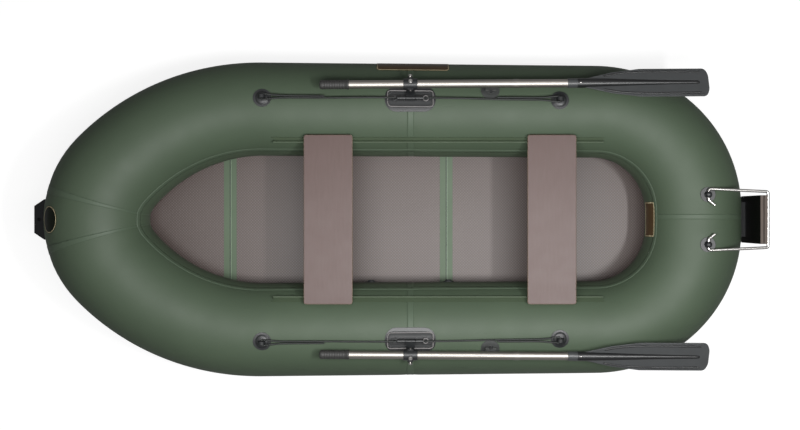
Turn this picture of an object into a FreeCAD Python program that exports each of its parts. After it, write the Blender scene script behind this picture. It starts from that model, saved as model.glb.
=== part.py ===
import FreeCAD, Part
import math
import os
import Sketcher

# Inflatable rowing boat for two, 3 m long, with a folding plywood floor, two
# sliding thwarts, a pair of stowed oars, lifelines and a hung engine transom.
# Millimetres. +X runs aft, +Y to starboard, +Z up. The origin is on the ground
# under the middle of the hull, on its keel line.

# Driving dimensions

SIZES = {
    # Hull: one ring of air tube, pointed at the bow and round at the stern
    "hull_length": 3000,
    "side_half_fore": 479,
    "side_taper": 11,
    "side_radius_fore": 202,
    "radius_taper": 3,
    "nose_swell": 20,
    "stern_swell": 4,
    "nose_curve": 300,
    "nose_turn_deg": 42,
    "stern_curve": 430,
    "nose_lift": 20,
    "stern_lift": 10,
    "station_step": 130,
    "cut_overrun": 60,
    # Bottom skin and floor
    "skin_height": 26,
    "skin_thickness": 3,
    "skin_inset": 40,
    "board_thickness": 9,
    "board_edge_gap": 4,
    "board_joint_gap": 2,
    "strip_width": 57,
    "strip_thickness": 1.5,
    "strip_groove_width": 4,
    "strip_groove_depth": 1,
    # Seat tracks on the inner shoulders of the tubes
    "track_lean_deg": -43.5,
    "bead_height": 14.7,
    "track_base_width": 30,
    "track_bevel": 34,
    "track_fin_inset": 8,
    "track_base_top": 12,
    "track_base_depth": 12,
    "fin_thickness": 3,
    "bead_radius": 4,
    # Thwarts
    "seat_overhang": 29,
    "seat_width": 204,
    "seat_thickness": 15,
    "seat_rise": 15,
    "seat_corner": 10,
    "seat_edge": 3,
    "runner_length": 190,
    "runner_wall": 3,
    "runner_gap": 0.4,
    "runner_foot": 18,
    "slot_gap": 0.8,
    # Rowlocks
    "barrel_lean_deg": 8.3,
    "barrel_height": 15.9,
    "barrel_radius": 8.5,
    "barrel_gap": 3,
    "knuckle_half": 19,
    "ear_length": 32,
    "pin_radius": 4,
    "pin_gap": 0.05,
    "flange_length": 212,
    "flange_width": 106,
    "flange_corner": 48,
    "flange_thickness": 3,
    "rim_length": 196,
    "rim_width": 74,
    "rim_corner": 33,
    "rim_height": 6,
    "rim_wall": 6,
    "pocket_depth": 4,
    "rope_pad_place": 64,
    "rope_pad_radius": 13,
    "rope_pad_height": 14,
    # Oars
    "stud_lean_deg": 20,
    "oar_height": 50.7,
    "oar_yaw_deg": 0.4,
    "stud_radius": 5,
    "stud_gap": 0.05,
    "arm_height": 12,
    "arm_thickness": 7,
    "arm_half_width": 17,
    "collar_radius": 9,
    "running_gap": 0.5,
    "shaft_radius": 17,
    "shaft_wall": 1.8,
    "shaft_fore_end": -366,
    "grip_fore_end": -376,
    "grip_aft_end": -254,
    "grip_radius": 18.5,
    "grip_end_share": 0.7,
    "grip_round_share": 0.3,
    "clamp_half_length": 29,
    "clamp_radius": 22.5,
    "clamp_ear": 12,
    "clamp_ear_rise": 6,
    "clamp_bolt_radius": 5,
    "clamp_head_height": 4,
    "clamp_knob_radius": 8,
    "clamp_knob_length": 13.5,
    "clamp_neck_share": 0.4,
    "nut_radius": 9,
    "nut_height": 11,
    "nut_shoulder_share": 0.7,
    "nut_top_share": 0.6,
    "ferrule_fore_end": 426,
    "ferrule_length": 24,
    "ferrule_radius": 18.2,
    "socket_start": 650,
    "socket_radius": 19.5,
    "shoulder_start": 714,
    "shoulder_end": 950,
    "blade_tip": 1235,
    "blade_width": 127,
    "blade_thickness": 5,
    "blade_tip_bulge": 13,
    "blade_tip_round": 60,
    "blade_corner": 22,
    "blade_shoulder_round": 120,
    "blade_edge": 1.5,
    "blade_root_share": 0.9,
    "blade_mid_share": 0.37,
    "blade_tip_share": 0.27,
    "spine_end": 1198,
    "spine_end_radius": 3.5,
    "blade_rib_width": 3,
    "blade_rib_height": 4,
    "blade_rib_inset": 8,
    "blade_rib_end_gap": 26,
    # Oar holders
    "holder_disc_radius": 39,
    "holder_disc_thickness": 3,
    "holder_post_radius": 14,
    "saddle_length": 44,
    "saddle_width": 52,
    "saddle_thickness": 6,
    "holder_knob_side": -27,
    "holder_knob_radius": 6,
    "holder_knob_below": 12,
    # Lifelines and their eyes
    "eye_disc_radius": 38,
    "eye_disc_thickness": 3,
    "eye_dome_radius": 31,
    "eye_dome_height": 9,
    "ear_plate_length": 30,
    "ear_plate_thickness": 14,
    "ear_hole_radius": 6,
    "rope_radius": 4,
    "rope_bend": 6,
    "rope_height": 20,
    "rope_split_share": 0.13,
    "rope_tail_share": 0.47,
    "rope_join_share": 0.23,
    # Hung transom
    "cleat_inset": 194,
    "cleat_side": 104,
    "cleat_disc_radius": 31,
    "cleat_disc_thickness": 3,
    "cleat_ball_radius": 14.5,
    "cleat_neck_radius": 11,
    "cleat_hole_gap": 0.2,
    "rod_radius": 6,
    "rod_rise": 12,
    "rod_hook_side": 60,
    "rod_hook_reach": 26,
    "rod_bend": 9,
    "rod_side_gap": 9,
    "rod_seat_gap": 0.3,
    "plate_gap": 17,
    "plate_width": 202,
    "plate_rise": 24,
    "plate_drop": 270,
    "plate_thickness": 13,
    "pad_thickness": 13,
    "plate_joint_gap": 3,
    "plate_corner": 25,
    "rest_width": 150,
    "rest_height": 60,
    # Towing eye on the nose
    "tow_reach": 43,
    "tow_front_half": 58,
    "tow_back_half": 87,
    "tow_height": 50,
    "tow_hole_radius": 8,
    # Air valves under the overhang of the tubes
    "valve_lean_deg": -105,
    "valve_disc_radius": 28,
    "valve_disc_thickness": 3,
    "valve_cap_radius": 17,
    "valve_cap_height": 9,
    "valve_cap_share": 0.9,
}

# Places along the hull, as shares of its straight side from that side's fore end
PLACE_SHARES = {
    "floor_joint_fore": -0.1116,
    "eye_fore": 0.0194,
    "track_fore_end": 0.0422,
    "seat_fore": 0.2093,
    "valve_fore": 0.3299,
    "rowlock": 0.4477,
    "seam": 0.4484,
    "floor_joint_aft": 0.562,
    "valve_aft": 0.5655,
    "holder": 0.6791,
    "seat_aft": 0.8586,
    "eye_aft": 0.8801,
    "track_aft_end": 1.0166,
}

# Profile of a domed patch, as shares of its height and of its radius
DOME_SHARES = ((-0.5, 0.0), (-0.5, 1.0), (0.2, 0.96), (0.65, 0.75), (0.92, 0.5), (1.0, 0.3), (1.0, 0.0))

# How the tube swells and lifts from the straight side to the nose or the stern
RADIUS_RISE_POWER = 1.5
LIFT_RISE_POWER = 2

SIDES = {"starboard": 1, "port": -1}

doc = FreeCAD.newDocument("RowingBoat")
sheet = doc.addObject("Spreadsheet::Sheet", "Sizes")
for row, (alias, value) in enumerate(SIZES.items(), start=1):
    sheet.set(f"A{row}", alias)
    sheet.set(f"B{row}", str(value))
    sheet.setAlias(f"B{row}", alias)
doc.recompute()

finished = {}


def size(name):
    return float(sheet.get(name))


def angle(name):
    return math.radians(size(name + "_deg"))


def number(formula):
    return float(sheet.evalExpression(formula.replace("Sizes.", "")))


def vector(x, y, z):
    return FreeCAD.Vector(x, y, z)


def keep(label, piece):
    """Hands in a piece under its own name."""
    piece.Label = label
    finished[label] = piece
    return piece


def feature(name, shape, placement=None):
    piece = doc.addObject("Part::Feature", name)
    piece.Shape = shape
    if placement:
        piece.Placement = placement
    return piece


# Form of the air tubes

class Path:
    """Plan of the starboard half of the tube's centre line, in tangent arcs."""

    side_half_aft = size("side_half_fore") - size("side_taper")
    side_radius_aft = size("side_radius_fore") - size("radius_taper")
    nose_radius = size("side_radius_fore") + size("nose_swell")
    stern_radius = side_radius_aft + size("stern_swell")
    nose_x = -size("hull_length") / 2 + nose_radius
    stern_x = size("hull_length") / 2 - stern_radius
    bow_turn = math.pi / 2 - angle("nose_turn")
    nose_centre_x = nose_x + size("nose_curve")
    joint_x = nose_centre_x - size("nose_curve") * math.sin(bow_turn)
    joint_y = size("nose_curve") * math.cos(bow_turn)
    bow_curve = (size("side_half_fore") - joint_y) / (1 - math.cos(bow_turn))
    side_start_x = joint_x + bow_curve * math.sin(bow_turn)
    bow_centre_y = size("side_half_fore") - bow_curve
    side_end_x = stern_x - size("stern_curve")
    stern_flat = side_half_aft - size("stern_curve")
    stern_top = 2 * stern_radius + size("stern_lift")
    side_fall = (side_half_aft - size("side_half_fore")) / (side_end_x - side_start_x)


def place_of(name):
    """Place along the hull from the table of shares."""
    return Path.side_start_x + PLACE_SHARES[name] * (Path.side_end_x - Path.side_start_x)


def nose_point(heading, inset=0.0):
    reach = size("nose_curve") - inset
    return Path.nose_centre_x - reach * math.sin(heading), reach * math.cos(heading)


def bow_point(heading, inset=0.0):
    reach = Path.bow_curve - inset
    x = Path.side_start_x - reach * math.sin(heading)
    return x, Path.bow_centre_y + reach * math.cos(heading)


def stern_point(heading, inset=0.0):
    reach = size("stern_curve") - inset
    return Path.side_end_x + reach * math.sin(heading), Path.stern_flat + reach * math.cos(heading)


def side_half(x):
    return size("side_half_fore") + Path.side_fall * (x - Path.side_start_x)


def tube_radius(x):
    if x < Path.side_start_x:
        share = (Path.side_start_x - x) / (Path.side_start_x - Path.nose_x)
        return size("side_radius_fore") + size("nose_swell") * share ** RADIUS_RISE_POWER
    if x > Path.side_end_x:
        share = (x - Path.side_end_x) / (Path.stern_x - Path.side_end_x)
        return Path.side_radius_aft + size("stern_swell") * share ** RADIUS_RISE_POWER
    share = (x - Path.side_start_x) / (Path.side_end_x - Path.side_start_x)
    return size("side_radius_fore") - share * size("radius_taper")


def tube_height(x):
    """Height of the tube's centre, which lifts a little at both ends."""
    lift = 0.0
    if x < Path.side_start_x:
        share = (Path.side_start_x - x) / (Path.side_start_x - Path.nose_x)
        lift = size("nose_lift") * share ** LIFT_RISE_POWER
    if x > Path.side_end_x:
        share = (x - Path.side_end_x) / (Path.stern_x - Path.side_end_x)
        lift = size("stern_lift") * share ** LIFT_RISE_POWER
    return tube_radius(x) + lift


def steps(start, end, step_size):
    """Even steps from start to end, both counted."""
    count = max(1, math.ceil(abs(end - start) / step_size))
    return [start + (end - start) * index / count for index in range(count + 1)]


def starboard_stations():
    """Places (x, y) and headings along the starboard half, nose to stern."""
    stations = []
    step_size = size("station_step")
    for heading in steps(math.pi / 2, Path.bow_turn, step_size / 2 / size("nose_curve")):
        stations.append((*nose_point(heading), heading))
    for heading in steps(Path.bow_turn, 0, step_size / Path.bow_curve)[1:-1]:
        stations.append((*bow_point(heading), heading))
    side_heading = math.atan(Path.side_fall)
    before_seam = steps(Path.side_start_x, place_of("seam"), step_size)
    after_seam = steps(place_of("seam"), Path.side_end_x, step_size)
    for x in before_seam + after_seam[1:-1]:
        stations.append((x, side_half(x), side_heading))
    for heading in steps(0, math.pi / 2, step_size / size("stern_curve")):
        stations.append((*stern_point(heading), -heading))
    stations.append((Path.stern_x, 0.0, -math.pi / 2))
    return stations


def section(x, y, direction):
    """A round section of the tube, square to its direction, seam on top."""
    up = vector(0, 0, 1)
    turn = FreeCAD.Rotation(up, direction.cross(up), direction, "ZXY")
    ring = Part.Wire(Part.makeCircle(tube_radius(x)))
    ring.Placement = FreeCAD.Placement(vector(x, y, tube_height(x)), turn)
    return ring


def tube_half(stations):
    """Air tube from a list of starboard stations that starts or ends on the keel line."""
    starboard = [section(x, y, vector(math.cos(a), math.sin(a), 0)) for x, y, a in stations]
    port = [section(x, -y, vector(-math.cos(a), math.sin(a), 0)) for x, y, a in stations]
    port.reverse()
    if abs(stations[0][1]) < abs(stations[-1][1]):
        rings = port[:-1] + starboard
    else:
        rings = starboard + port[1:]
    return Part.makeLoft(rings, True, False)


def make_tubes():
    stations = starboard_stations()
    seam = place_of("seam")
    fore = [station for station in stations if station[0] < seam + size("pin_gap")]
    aft = [station for station in stations if station[0] > seam - size("pin_gap")]
    return keep("tube_fore", feature("tube_fore", tube_half(fore))), keep(
        "tube_aft", feature("tube_aft", tube_half(aft)))


def plan_wire(inset):
    """Closed plan outline, the centre line moved inboard by the inset."""
    half_turn = Path.bow_turn / 2
    quarter = math.pi / 4

    def lifted(place, side=1):
        return vector(place[0], side * place[1], 0)

    edges = [Part.Arc(lifted(nose_point(Path.bow_turn, inset), -1), lifted(nose_point(math.pi / 2, inset)),
                      lifted(nose_point(Path.bow_turn, inset))).toShape()]
    for side in (1, -1):
        edges.append(Part.Arc(lifted(bow_point(Path.bow_turn, inset), side),
                              lifted(bow_point(half_turn, inset), side),
                              lifted(bow_point(0, inset), side)).toShape())
        edges.append(Part.makeLine(lifted(bow_point(0, inset), side), lifted(stern_point(0, inset), side)))
        edges.append(Part.Arc(lifted(stern_point(0, inset), side), lifted(stern_point(quarter, inset), side),
                              lifted(stern_point(math.pi / 2, inset), side)).toShape())
    edges.append(Part.makeLine(lifted(stern_point(math.pi / 2, inset)),
                               lifted(stern_point(math.pi / 2, inset), -1)))
    return Part.Wire(Part.__sortEdges__(edges))


def plan_slab(name, inset, bottom, thickness):
    """A level slab of the plan outline; its thickness is bound to the sheet."""
    plan = feature(name + "_plan", Part.Face(plan_wire(inset)))
    plan.Placement = FreeCAD.Placement(vector(0, 0, bottom), FreeCAD.Rotation())
    slab = doc.addObject("Part::Extrusion", name + "_slab")
    slab.Base = plan
    slab.DirMode = "Custom"
    slab.Dir = vector(0, 0, 1)
    slab.Solid = True
    slab.setExpression("LengthFwd", thickness)
    return slab


# Frames in which pieces are built

def skin_frame(x, lean, side, height=0.0):
    """Frame on the tube's skin: z out of the skin, y outboard, x along the tube."""
    reach = tube_radius(x) + height
    place = vector(x, side * (side_half(x) + reach * math.sin(lean)),
                   tube_height(x) + reach * math.cos(lean))
    along = vector(side, 0, 0)
    outboard = vector(0, side * math.cos(lean), -math.sin(lean))
    outward = vector(0, side * math.sin(lean), math.cos(lean))
    return FreeCAD.Placement(place, FreeCAD.Rotation(along, outboard, outward, "ZXY"))


def level_frame(x, y, z, turn_deg=0):
    return FreeCAD.Placement(vector(x, y, z), FreeCAD.Rotation(vector(0, 0, 1), turn_deg))


def shifted(frame, x=0.0, y=0.0, z=0.0, turn=None):
    return frame.multiply(FreeCAD.Placement(vector(x, y, z), turn or FreeCAD.Rotation()))


ALONG = FreeCAD.Rotation(vector(0, 1, 0), 90)
ACROSS = FreeCAD.Rotation(vector(1, 0, 0), -90)
PARALLEL_SHARE = 0.999999


# Building steps

def round_path(points, bend):
    """A wire along straight runs joined by tangent arcs of one radius."""
    edges = []
    start = points[0]
    for before, corner, after in zip(points, points[1:], points[2:]):
        toward = (before - corner).normalize()
        away = (after - corner).normalize()
        half = toward.getAngle(away) / 2
        reach = bend / math.tan(half)
        middle = corner + (toward + away).normalize() * (bend / math.sin(half) - bend)
        first, last = corner + toward * reach, corner + away * reach
        edges += [Part.makeLine(start, first), Part.Arc(first, middle, last).toShape()]
        start = last
    edges.append(Part.makeLine(start, points[-1]))
    return Part.Wire(edges)


def round_bar(points, bend, radius):
    """A solid round bar or rope along such a path."""
    direction = (points[1] - points[0]).normalize()
    ring = Part.Wire(Part.makeCircle(radius, points[0], direction))
    return round_path(points, bend).makePipeShell([ring], True, False)


def cylinder(name, radius, height, placement):
    piece = doc.addObject("Part::Cylinder", name)
    piece.setExpression("Radius", radius)
    piece.setExpression("Height", height)
    piece.Placement = placement
    return piece


def through_bore(name, radius, placement):
    """A drill along the z of its placement, one overrun past the origin each way."""
    back = FreeCAD.Placement(vector(0, 0, -size("cut_overrun")), FreeCAD.Rotation())
    return cylinder(name, radius, "Sizes.cut_overrun * 2", placement.multiply(back))


def block(name, length, width, height, frame, centre=("0", "0", "0")):
    """A box whose middle is at centre in its frame; the sizes are bound to the sheet."""
    piece = doc.addObject("Part::Box", name)
    piece.setExpression("Length", length)
    piece.setExpression("Width", width)
    piece.setExpression("Height", height)
    corner = [number(middle) - number(side) / 2 for middle, side in zip(centre, (length, width, height))]
    piece.Placement = shifted(frame, *corner)
    return piece


def sheath(name, place, thickness, length, frame):
    """A sleeve about the tube, one patch thickness larger; patches are trimmed to it."""
    sleeve = cylinder(name, f"{tube_radius(place)} + {thickness}", length,
                      shifted(frame, x=-number(length) / 2, z=-tube_radius(place), turn=ALONG))
    return sleeve


def round_slab(name, frame, length, width, corner, bottom, height):
    """A slab with round corners that stands on z = bottom in its frame."""
    body = new_body(name, frame)
    sketch = sketch_on(body, name + "_outline", "XY_Plane", bottom)
    half_x, half_y = f"({length}) / 2", f"({width}) / 2"
    draw_outline(sketch, [("-" + half_x, "-" + half_y), (half_x, "-" + half_y),
                          (half_x, half_y), ("-" + half_x, half_y)])
    rounded(body, pad(body, sketch, height), runs_along(vector(0, 0, 1)), corner)
    return body


def fused(name, pieces):
    joined = doc.addObject("Part::MultiFuse", name)
    joined.Shapes = pieces
    joined.Refine = True
    return joined


def cut(name, base, tool):
    remainder = doc.addObject("Part::Cut", name)
    remainder.Base = base
    remainder.Tool = tool
    return remainder


def common(name, base, tool):
    shared = doc.addObject("Part::Common", name)
    shared.Base = base
    shared.Tool = tool
    return shared


def new_body(name, placement):
    body = doc.addObject("PartDesign::Body", name)
    body.Placement = placement
    return body


def sketch_on(body, name, role, height=None):
    sketch = body.newObject("Sketcher::SketchObject", name)
    plane = next(item for item in body.Origin.OriginFeatures if item.Role == role)
    sketch.AttachmentSupport = [(plane, "")]
    sketch.MapMode = "FlatFace"
    if height:
        sketch.setExpression(".AttachmentOffset.Base.z", height)
    return sketch


def draw_outline(sketch, corners):
    """A closed outline; each corner is a pair of formulas in the sheet's sizes."""
    places = [tuple(number(formula) for formula in corner) for corner in corners]
    first = sketch.GeometryCount
    count = len(places)
    for index, place in enumerate(places):
        after = places[(index + 1) % count]
        sketch.addGeometry(Part.LineSegment(vector(*place, 0), vector(*after, 0)))
    for index in range(count):
        following = first + (index + 1) % count
        sketch.addConstraint(Sketcher.Constraint("Coincident", first + index, 2, following, 1))
    for index, corner in enumerate(corners):
        for kind, formula in zip(("DistanceX", "DistanceY"), corner):
            rule = Sketcher.Constraint(kind, -1, 1, first + index, 1, number(formula))
            sketch.setExpression(f"Constraints[{sketch.addConstraint(rule)}]", formula)


def draw_circle(sketch, radius, x="0", y="0"):
    centre = vector(number(x), number(y), 0)
    index = sketch.addGeometry(Part.Circle(centre, vector(0, 0, 1), number(radius)))
    place = sketch.addConstraint(Sketcher.Constraint("Radius", index, number(radius)))
    sketch.setExpression(f"Constraints[{place}]", radius)
    for kind, formula in (("DistanceX", x), ("DistanceY", y)):
        rule = Sketcher.Constraint(kind, -1, 1, index, 3, number(formula))
        sketch.setExpression(f"Constraints[{sketch.addConstraint(rule)}]", formula)


def pad(body, sketch, length):
    solid = body.newObject("PartDesign::Pad", sketch.Name + "_pad")
    solid.Profile = sketch
    solid.setExpression("Length", length)
    return solid


def pocket(body, sketch):
    """Cuts right through the body, both ways from the sketch."""
    hole = body.newObject("PartDesign::Pocket", sketch.Name + "_pocket")
    hole.Profile = sketch
    hole.Type = "ThroughAll"
    hole.Midplane = True
    return hole


def upright_at(x):
    """Picks a plate's upright edges at one place along it, in the plate's own frame."""
    def test(edge):
        return runs_along(vector(0, 0, 1))(edge) and abs(edge.CenterOfMass.x - x) < size("pin_gap")
    return test


def revolved(name, placement, corners):
    """A turned piece; its outline is (along the axis, radius) and the axis is x."""
    body = new_body(name, placement)
    sketch = sketch_on(body, name + "_outline", "XY_Plane")
    draw_outline(sketch, corners)
    turned = body.newObject("PartDesign::Revolution", name + "_turned")
    turned.Profile = sketch
    turned.ReferenceAxis = (sketch, ["H_Axis"])
    turned.Angle = 360
    return body


def rounded(body, base, chosen, radius):
    """Fillets the chosen edges of the body's last feature."""
    doc.recompute()
    names = [f"Edge{index}" for index, edge in enumerate(base.Shape.Edges, start=1) if chosen(edge)]
    fillet = body.newObject("PartDesign::Fillet", base.Name + "_round")
    fillet.Base = (base, names)
    fillet.setExpression("Radius", radius)
    return fillet


def runs_along(axis):
    """Picks straight edges parallel to an axis of the body."""
    def test(edge):
        if edge.Curve.TypeId != "Part::GeomLine":
            return False
        return abs(edge.tangentAt(edge.FirstParameter).dot(axis)) > PARALLEL_SHARE
    return test


# Pieces

def make_bottom(tubes):
    """Bottom skin, three floor boards and the two hinge strips over their joints."""
    skin = plan_slab("skin", size("skin_inset"), size("skin_height"), "Sizes.skin_thickness")
    keep("bottom_skin", cut("bottom_skin", skin, fused("both_tubes", list(tubes))))
    bottom = size("skin_height") + size("skin_thickness")
    top = bottom + size("board_thickness") + size("strip_thickness")
    radius = size("side_radius_fore")
    inset = math.sqrt(radius ** 2 - (radius - top) ** 2) + size("board_edge_gap")
    joints = (-size("hull_length") / 2, place_of("floor_joint_fore"), place_of("floor_joint_aft"),
              size("hull_length") / 2)
    for name, fore, aft in zip(("bow", "middle", "stern"), joints, joints[1:]):
        slab = plan_slab(f"{name}_board", inset, bottom, "Sizes.board_thickness")
        stock = doc.addObject("Part::Box", f"{name}_stock")
        stock.Length = aft - fore - size("board_joint_gap")
        stock.setExpression("Width", "Sizes.side_half_fore * 2")
        stock.setExpression("Height", "Sizes.cut_overrun * 2")
        stock.Placement = level_frame(fore + size("board_joint_gap") / 2, -size("side_half_fore"), 0)
        keep(f"floor_board_{name}", common(f"floor_board_{name}", slab, stock))
    for name in ("fore", "aft"):
        place = place_of(f"floor_joint_{name}")
        slab = plan_slab(f"{name}_strip", inset, bottom + size("board_thickness"), "Sizes.strip_thickness")
        stock = block(f"{name}_strip_stock", "Sizes.strip_width", "Sizes.side_half_fore * 2",
                      "Sizes.cut_overrun * 2", level_frame(place, 0, 0))
        strip = common(f"{name}_strip", slab, stock)
        groove = block(f"{name}_groove", "Sizes.strip_groove_width", "Sizes.side_half_fore * 2",
                       "Sizes.strip_groove_depth * 2", level_frame(place, 0, top))
        keep(f"floor_strip_{name}", cut(f"floor_strip_{name}", strip, groove))


def track_frame(side):
    """Frame of a seat track: x along it, z out of the tube's skin, origin in the bead."""
    seam = place_of("seam")
    frame = skin_frame(seam, angle("track_lean"), side, size("bead_height"))
    return shifted(frame, x=-side * seam)


def make_seat_tracks(tubes):
    """Welded strips with a fin and a bead, along which the thwarts slide."""
    start, end = place_of("track_fore_end"), place_of("track_aft_end")
    length = f"({end - start})"
    for name, side in SIDES.items():
        frame = shifted(track_frame(side), x=side * (start + end) / 2)
        base = new_body(f"track_base_{name}", frame)
        sketch = sketch_on(base, f"track_outline_{name}", "XY_Plane",
                           "-Sizes.track_base_top - Sizes.track_base_depth")
        half_x, half_y = f"{length} / 2", "Sizes.track_base_width / 2"
        short_x = f"({half_x} - Sizes.track_bevel)"
        draw_outline(sketch, [("-" + short_x, "-" + half_y), (short_x, "-" + half_y),
                              (half_x, half_y), ("-" + half_x, half_y)])
        pad(base, sketch, "Sizes.track_base_depth")
        fin_length = f"({length} - Sizes.track_fin_inset * 2)"
        fin_height = "(Sizes.track_base_top + Sizes.track_base_depth)"
        fin = block(f"track_fin_{name}", fin_length, "Sizes.fin_thickness", fin_height, frame,
                    ("0", "0", f"-{fin_height} / 2"))
        bead = cylinder(f"track_bead_{name}", "Sizes.bead_radius", fin_length,
                        shifted(frame, x=-number(fin_length) / 2, turn=ALONG))
        welded = cut(f"track_fore_{name}", fused(f"track_stock_{name}", [base, fin, bead]), tubes[0])
        keep(f"seat_track_{name}", cut(f"seat_track_{name}", welded, tubes[1]))


def make_seats():
    """Plywood thwarts, each on two channels that grip the beads of the tracks."""
    for name in ("fore", "aft"):
        place = place_of(f"seat_{name}")
        bead = track_frame(1).Base
        body = new_body(f"seat_{name}", level_frame(place, 0, bead.z + size("seat_rise")))
        sketch = sketch_on(body, f"seat_{name}_outline", "XY_Plane")
        half_x = "Sizes.seat_width / 2"
        half_y = f"({bead.y} + Sizes.seat_overhang)"
        draw_outline(sketch, [("-" + half_x, "-" + half_y), (half_x, "-" + half_y),
                              (half_x, half_y), ("-" + half_x, half_y)])
        board = pad(body, sketch, "Sizes.seat_thickness")
        corners = rounded(body, board, runs_along(vector(0, 0, 1)), "Sizes.seat_corner")
        rounded(body, corners, lambda edge: not runs_along(vector(0, 0, 1))(edge), "Sizes.seat_edge")
        keep(f"seat_{name}", body)
        runners = []
        for side_name, side in SIDES.items():
            label = f"runner_{name}_{side_name}"
            frame = shifted(track_frame(side), x=side * place)
            start = shifted(frame, x=-size("runner_length") / 2, turn=ALONG)
            ring = cylinder(label + "_ring", "Sizes.bead_radius + Sizes.runner_gap + Sizes.runner_wall",
                            "Sizes.runner_length", start)
            foot = block(label + "_foot", "Sizes.runner_length", "Sizes.runner_foot", "Sizes.seat_rise",
                         level_frame(place, side * bead.y, bead.z), ("0", "0", "Sizes.seat_rise / 2"))
            bore = cylinder(label + "_bore", "Sizes.bead_radius + Sizes.runner_gap", "Sizes.runner_length",
                            start)
            slot = block(label + "_slot", "Sizes.runner_length", "Sizes.fin_thickness + Sizes.slot_gap * 2",
                         "Sizes.runner_foot", frame, ("0", "0", "-Sizes.runner_foot / 2"))
            runners.append(cut(label, fused(label + "_stock", [ring, foot]),
                               fused(label + "_hollow", [bore, slot])))
        pair = doc.addObject("Part::Compound", f"seat_runners_{name}")
        pair.Links = runners
        keep(f"seat_runners_{name}", pair)


def make_rowlock_base(name, side, tubes):
    """Flange, rimmed body, two barrel ears on a pin, and the lifeline's two holes."""
    place = place_of("rowlock")
    frame = skin_frame(place, angle("barrel_lean"), side)
    depth = "Sizes.cut_overrun"
    flange_stock = round_slab(f"flange_stock_{name}", frame, "Sizes.flange_length", "Sizes.flange_width",
                              "Sizes.flange_corner", "-" + depth, depth + " * 2")
    flange = common(f"flange_{name}", flange_stock,
                    sheath(f"flange_sheath_{name}", place, "Sizes.flange_thickness",
                           "Sizes.flange_length", frame))
    rim = round_slab(f"rim_{name}", frame, "Sizes.rim_length", "Sizes.rim_width", "Sizes.rim_corner",
                     "-" + depth, "Sizes.cut_overrun + Sizes.rim_height")
    hollow = round_slab(f"rim_hollow_{name}", frame, "Sizes.rim_length - Sizes.rim_wall * 2",
                        "Sizes.rim_width - Sizes.rim_wall * 2", "Sizes.rim_corner - Sizes.rim_wall",
                        "Sizes.rim_height - Sizes.pocket_depth", depth)
    pieces = [flange, cut(f"rim_body_{name}", rim, hollow)]
    for end in (-1, 1):
        start = size("knuckle_half") + size("barrel_gap")
        if end < 0:
            start += size("ear_length")
        ear = cylinder(f"ear_{name}", "Sizes.barrel_radius", "Sizes.ear_length",
                       shifted(frame, x=end * start, z=size("barrel_height"), turn=ALONG))
        web = block(f"ear_web_{name}", "Sizes.ear_length", "Sizes.barrel_radius * 2",
                    "Sizes.barrel_height", frame,
                    (f"{end} * (Sizes.knuckle_half + Sizes.barrel_gap + Sizes.ear_length / 2)", "0",
                     "Sizes.barrel_height / 2"))
        rope_pad = cylinder(f"rope_pad_{name}", "Sizes.rope_pad_radius", "Sizes.rope_pad_height",
                            shifted(frame, x=end * size("rope_pad_place")))
        pieces += [ear, web, rope_pad]
    pieces.append(cylinder(f"pin_{name}", "Sizes.pin_radius",
                           "(Sizes.knuckle_half + Sizes.barrel_gap + Sizes.ear_length) * 2",
                           shifted(frame, x=-number("Sizes.knuckle_half + Sizes.barrel_gap"
                                                    " + Sizes.ear_length"),
                                   z=size("barrel_height"), turn=ALONG)))
    stock = fused(f"rowlock_base_stock_{name}", pieces)
    holes = []
    for end in (-1, 1):
        holes.append(cylinder(f"rope_hole_{name}", "Sizes.rope_radius + Sizes.running_gap",
                              "Sizes.rope_pad_height * 2",
                              shifted(frame, x=end * size("rope_pad_place"), z=size("flange_thickness"))))
    drilled = cut(f"rowlock_base_drilled_{name}", stock, fused(f"rope_holes_{name}", holes))
    keep(f"rowlock_base_{name}", cut(f"rowlock_base_{name}", drilled, fused(f"hull_{name}", list(tubes))))


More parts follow.
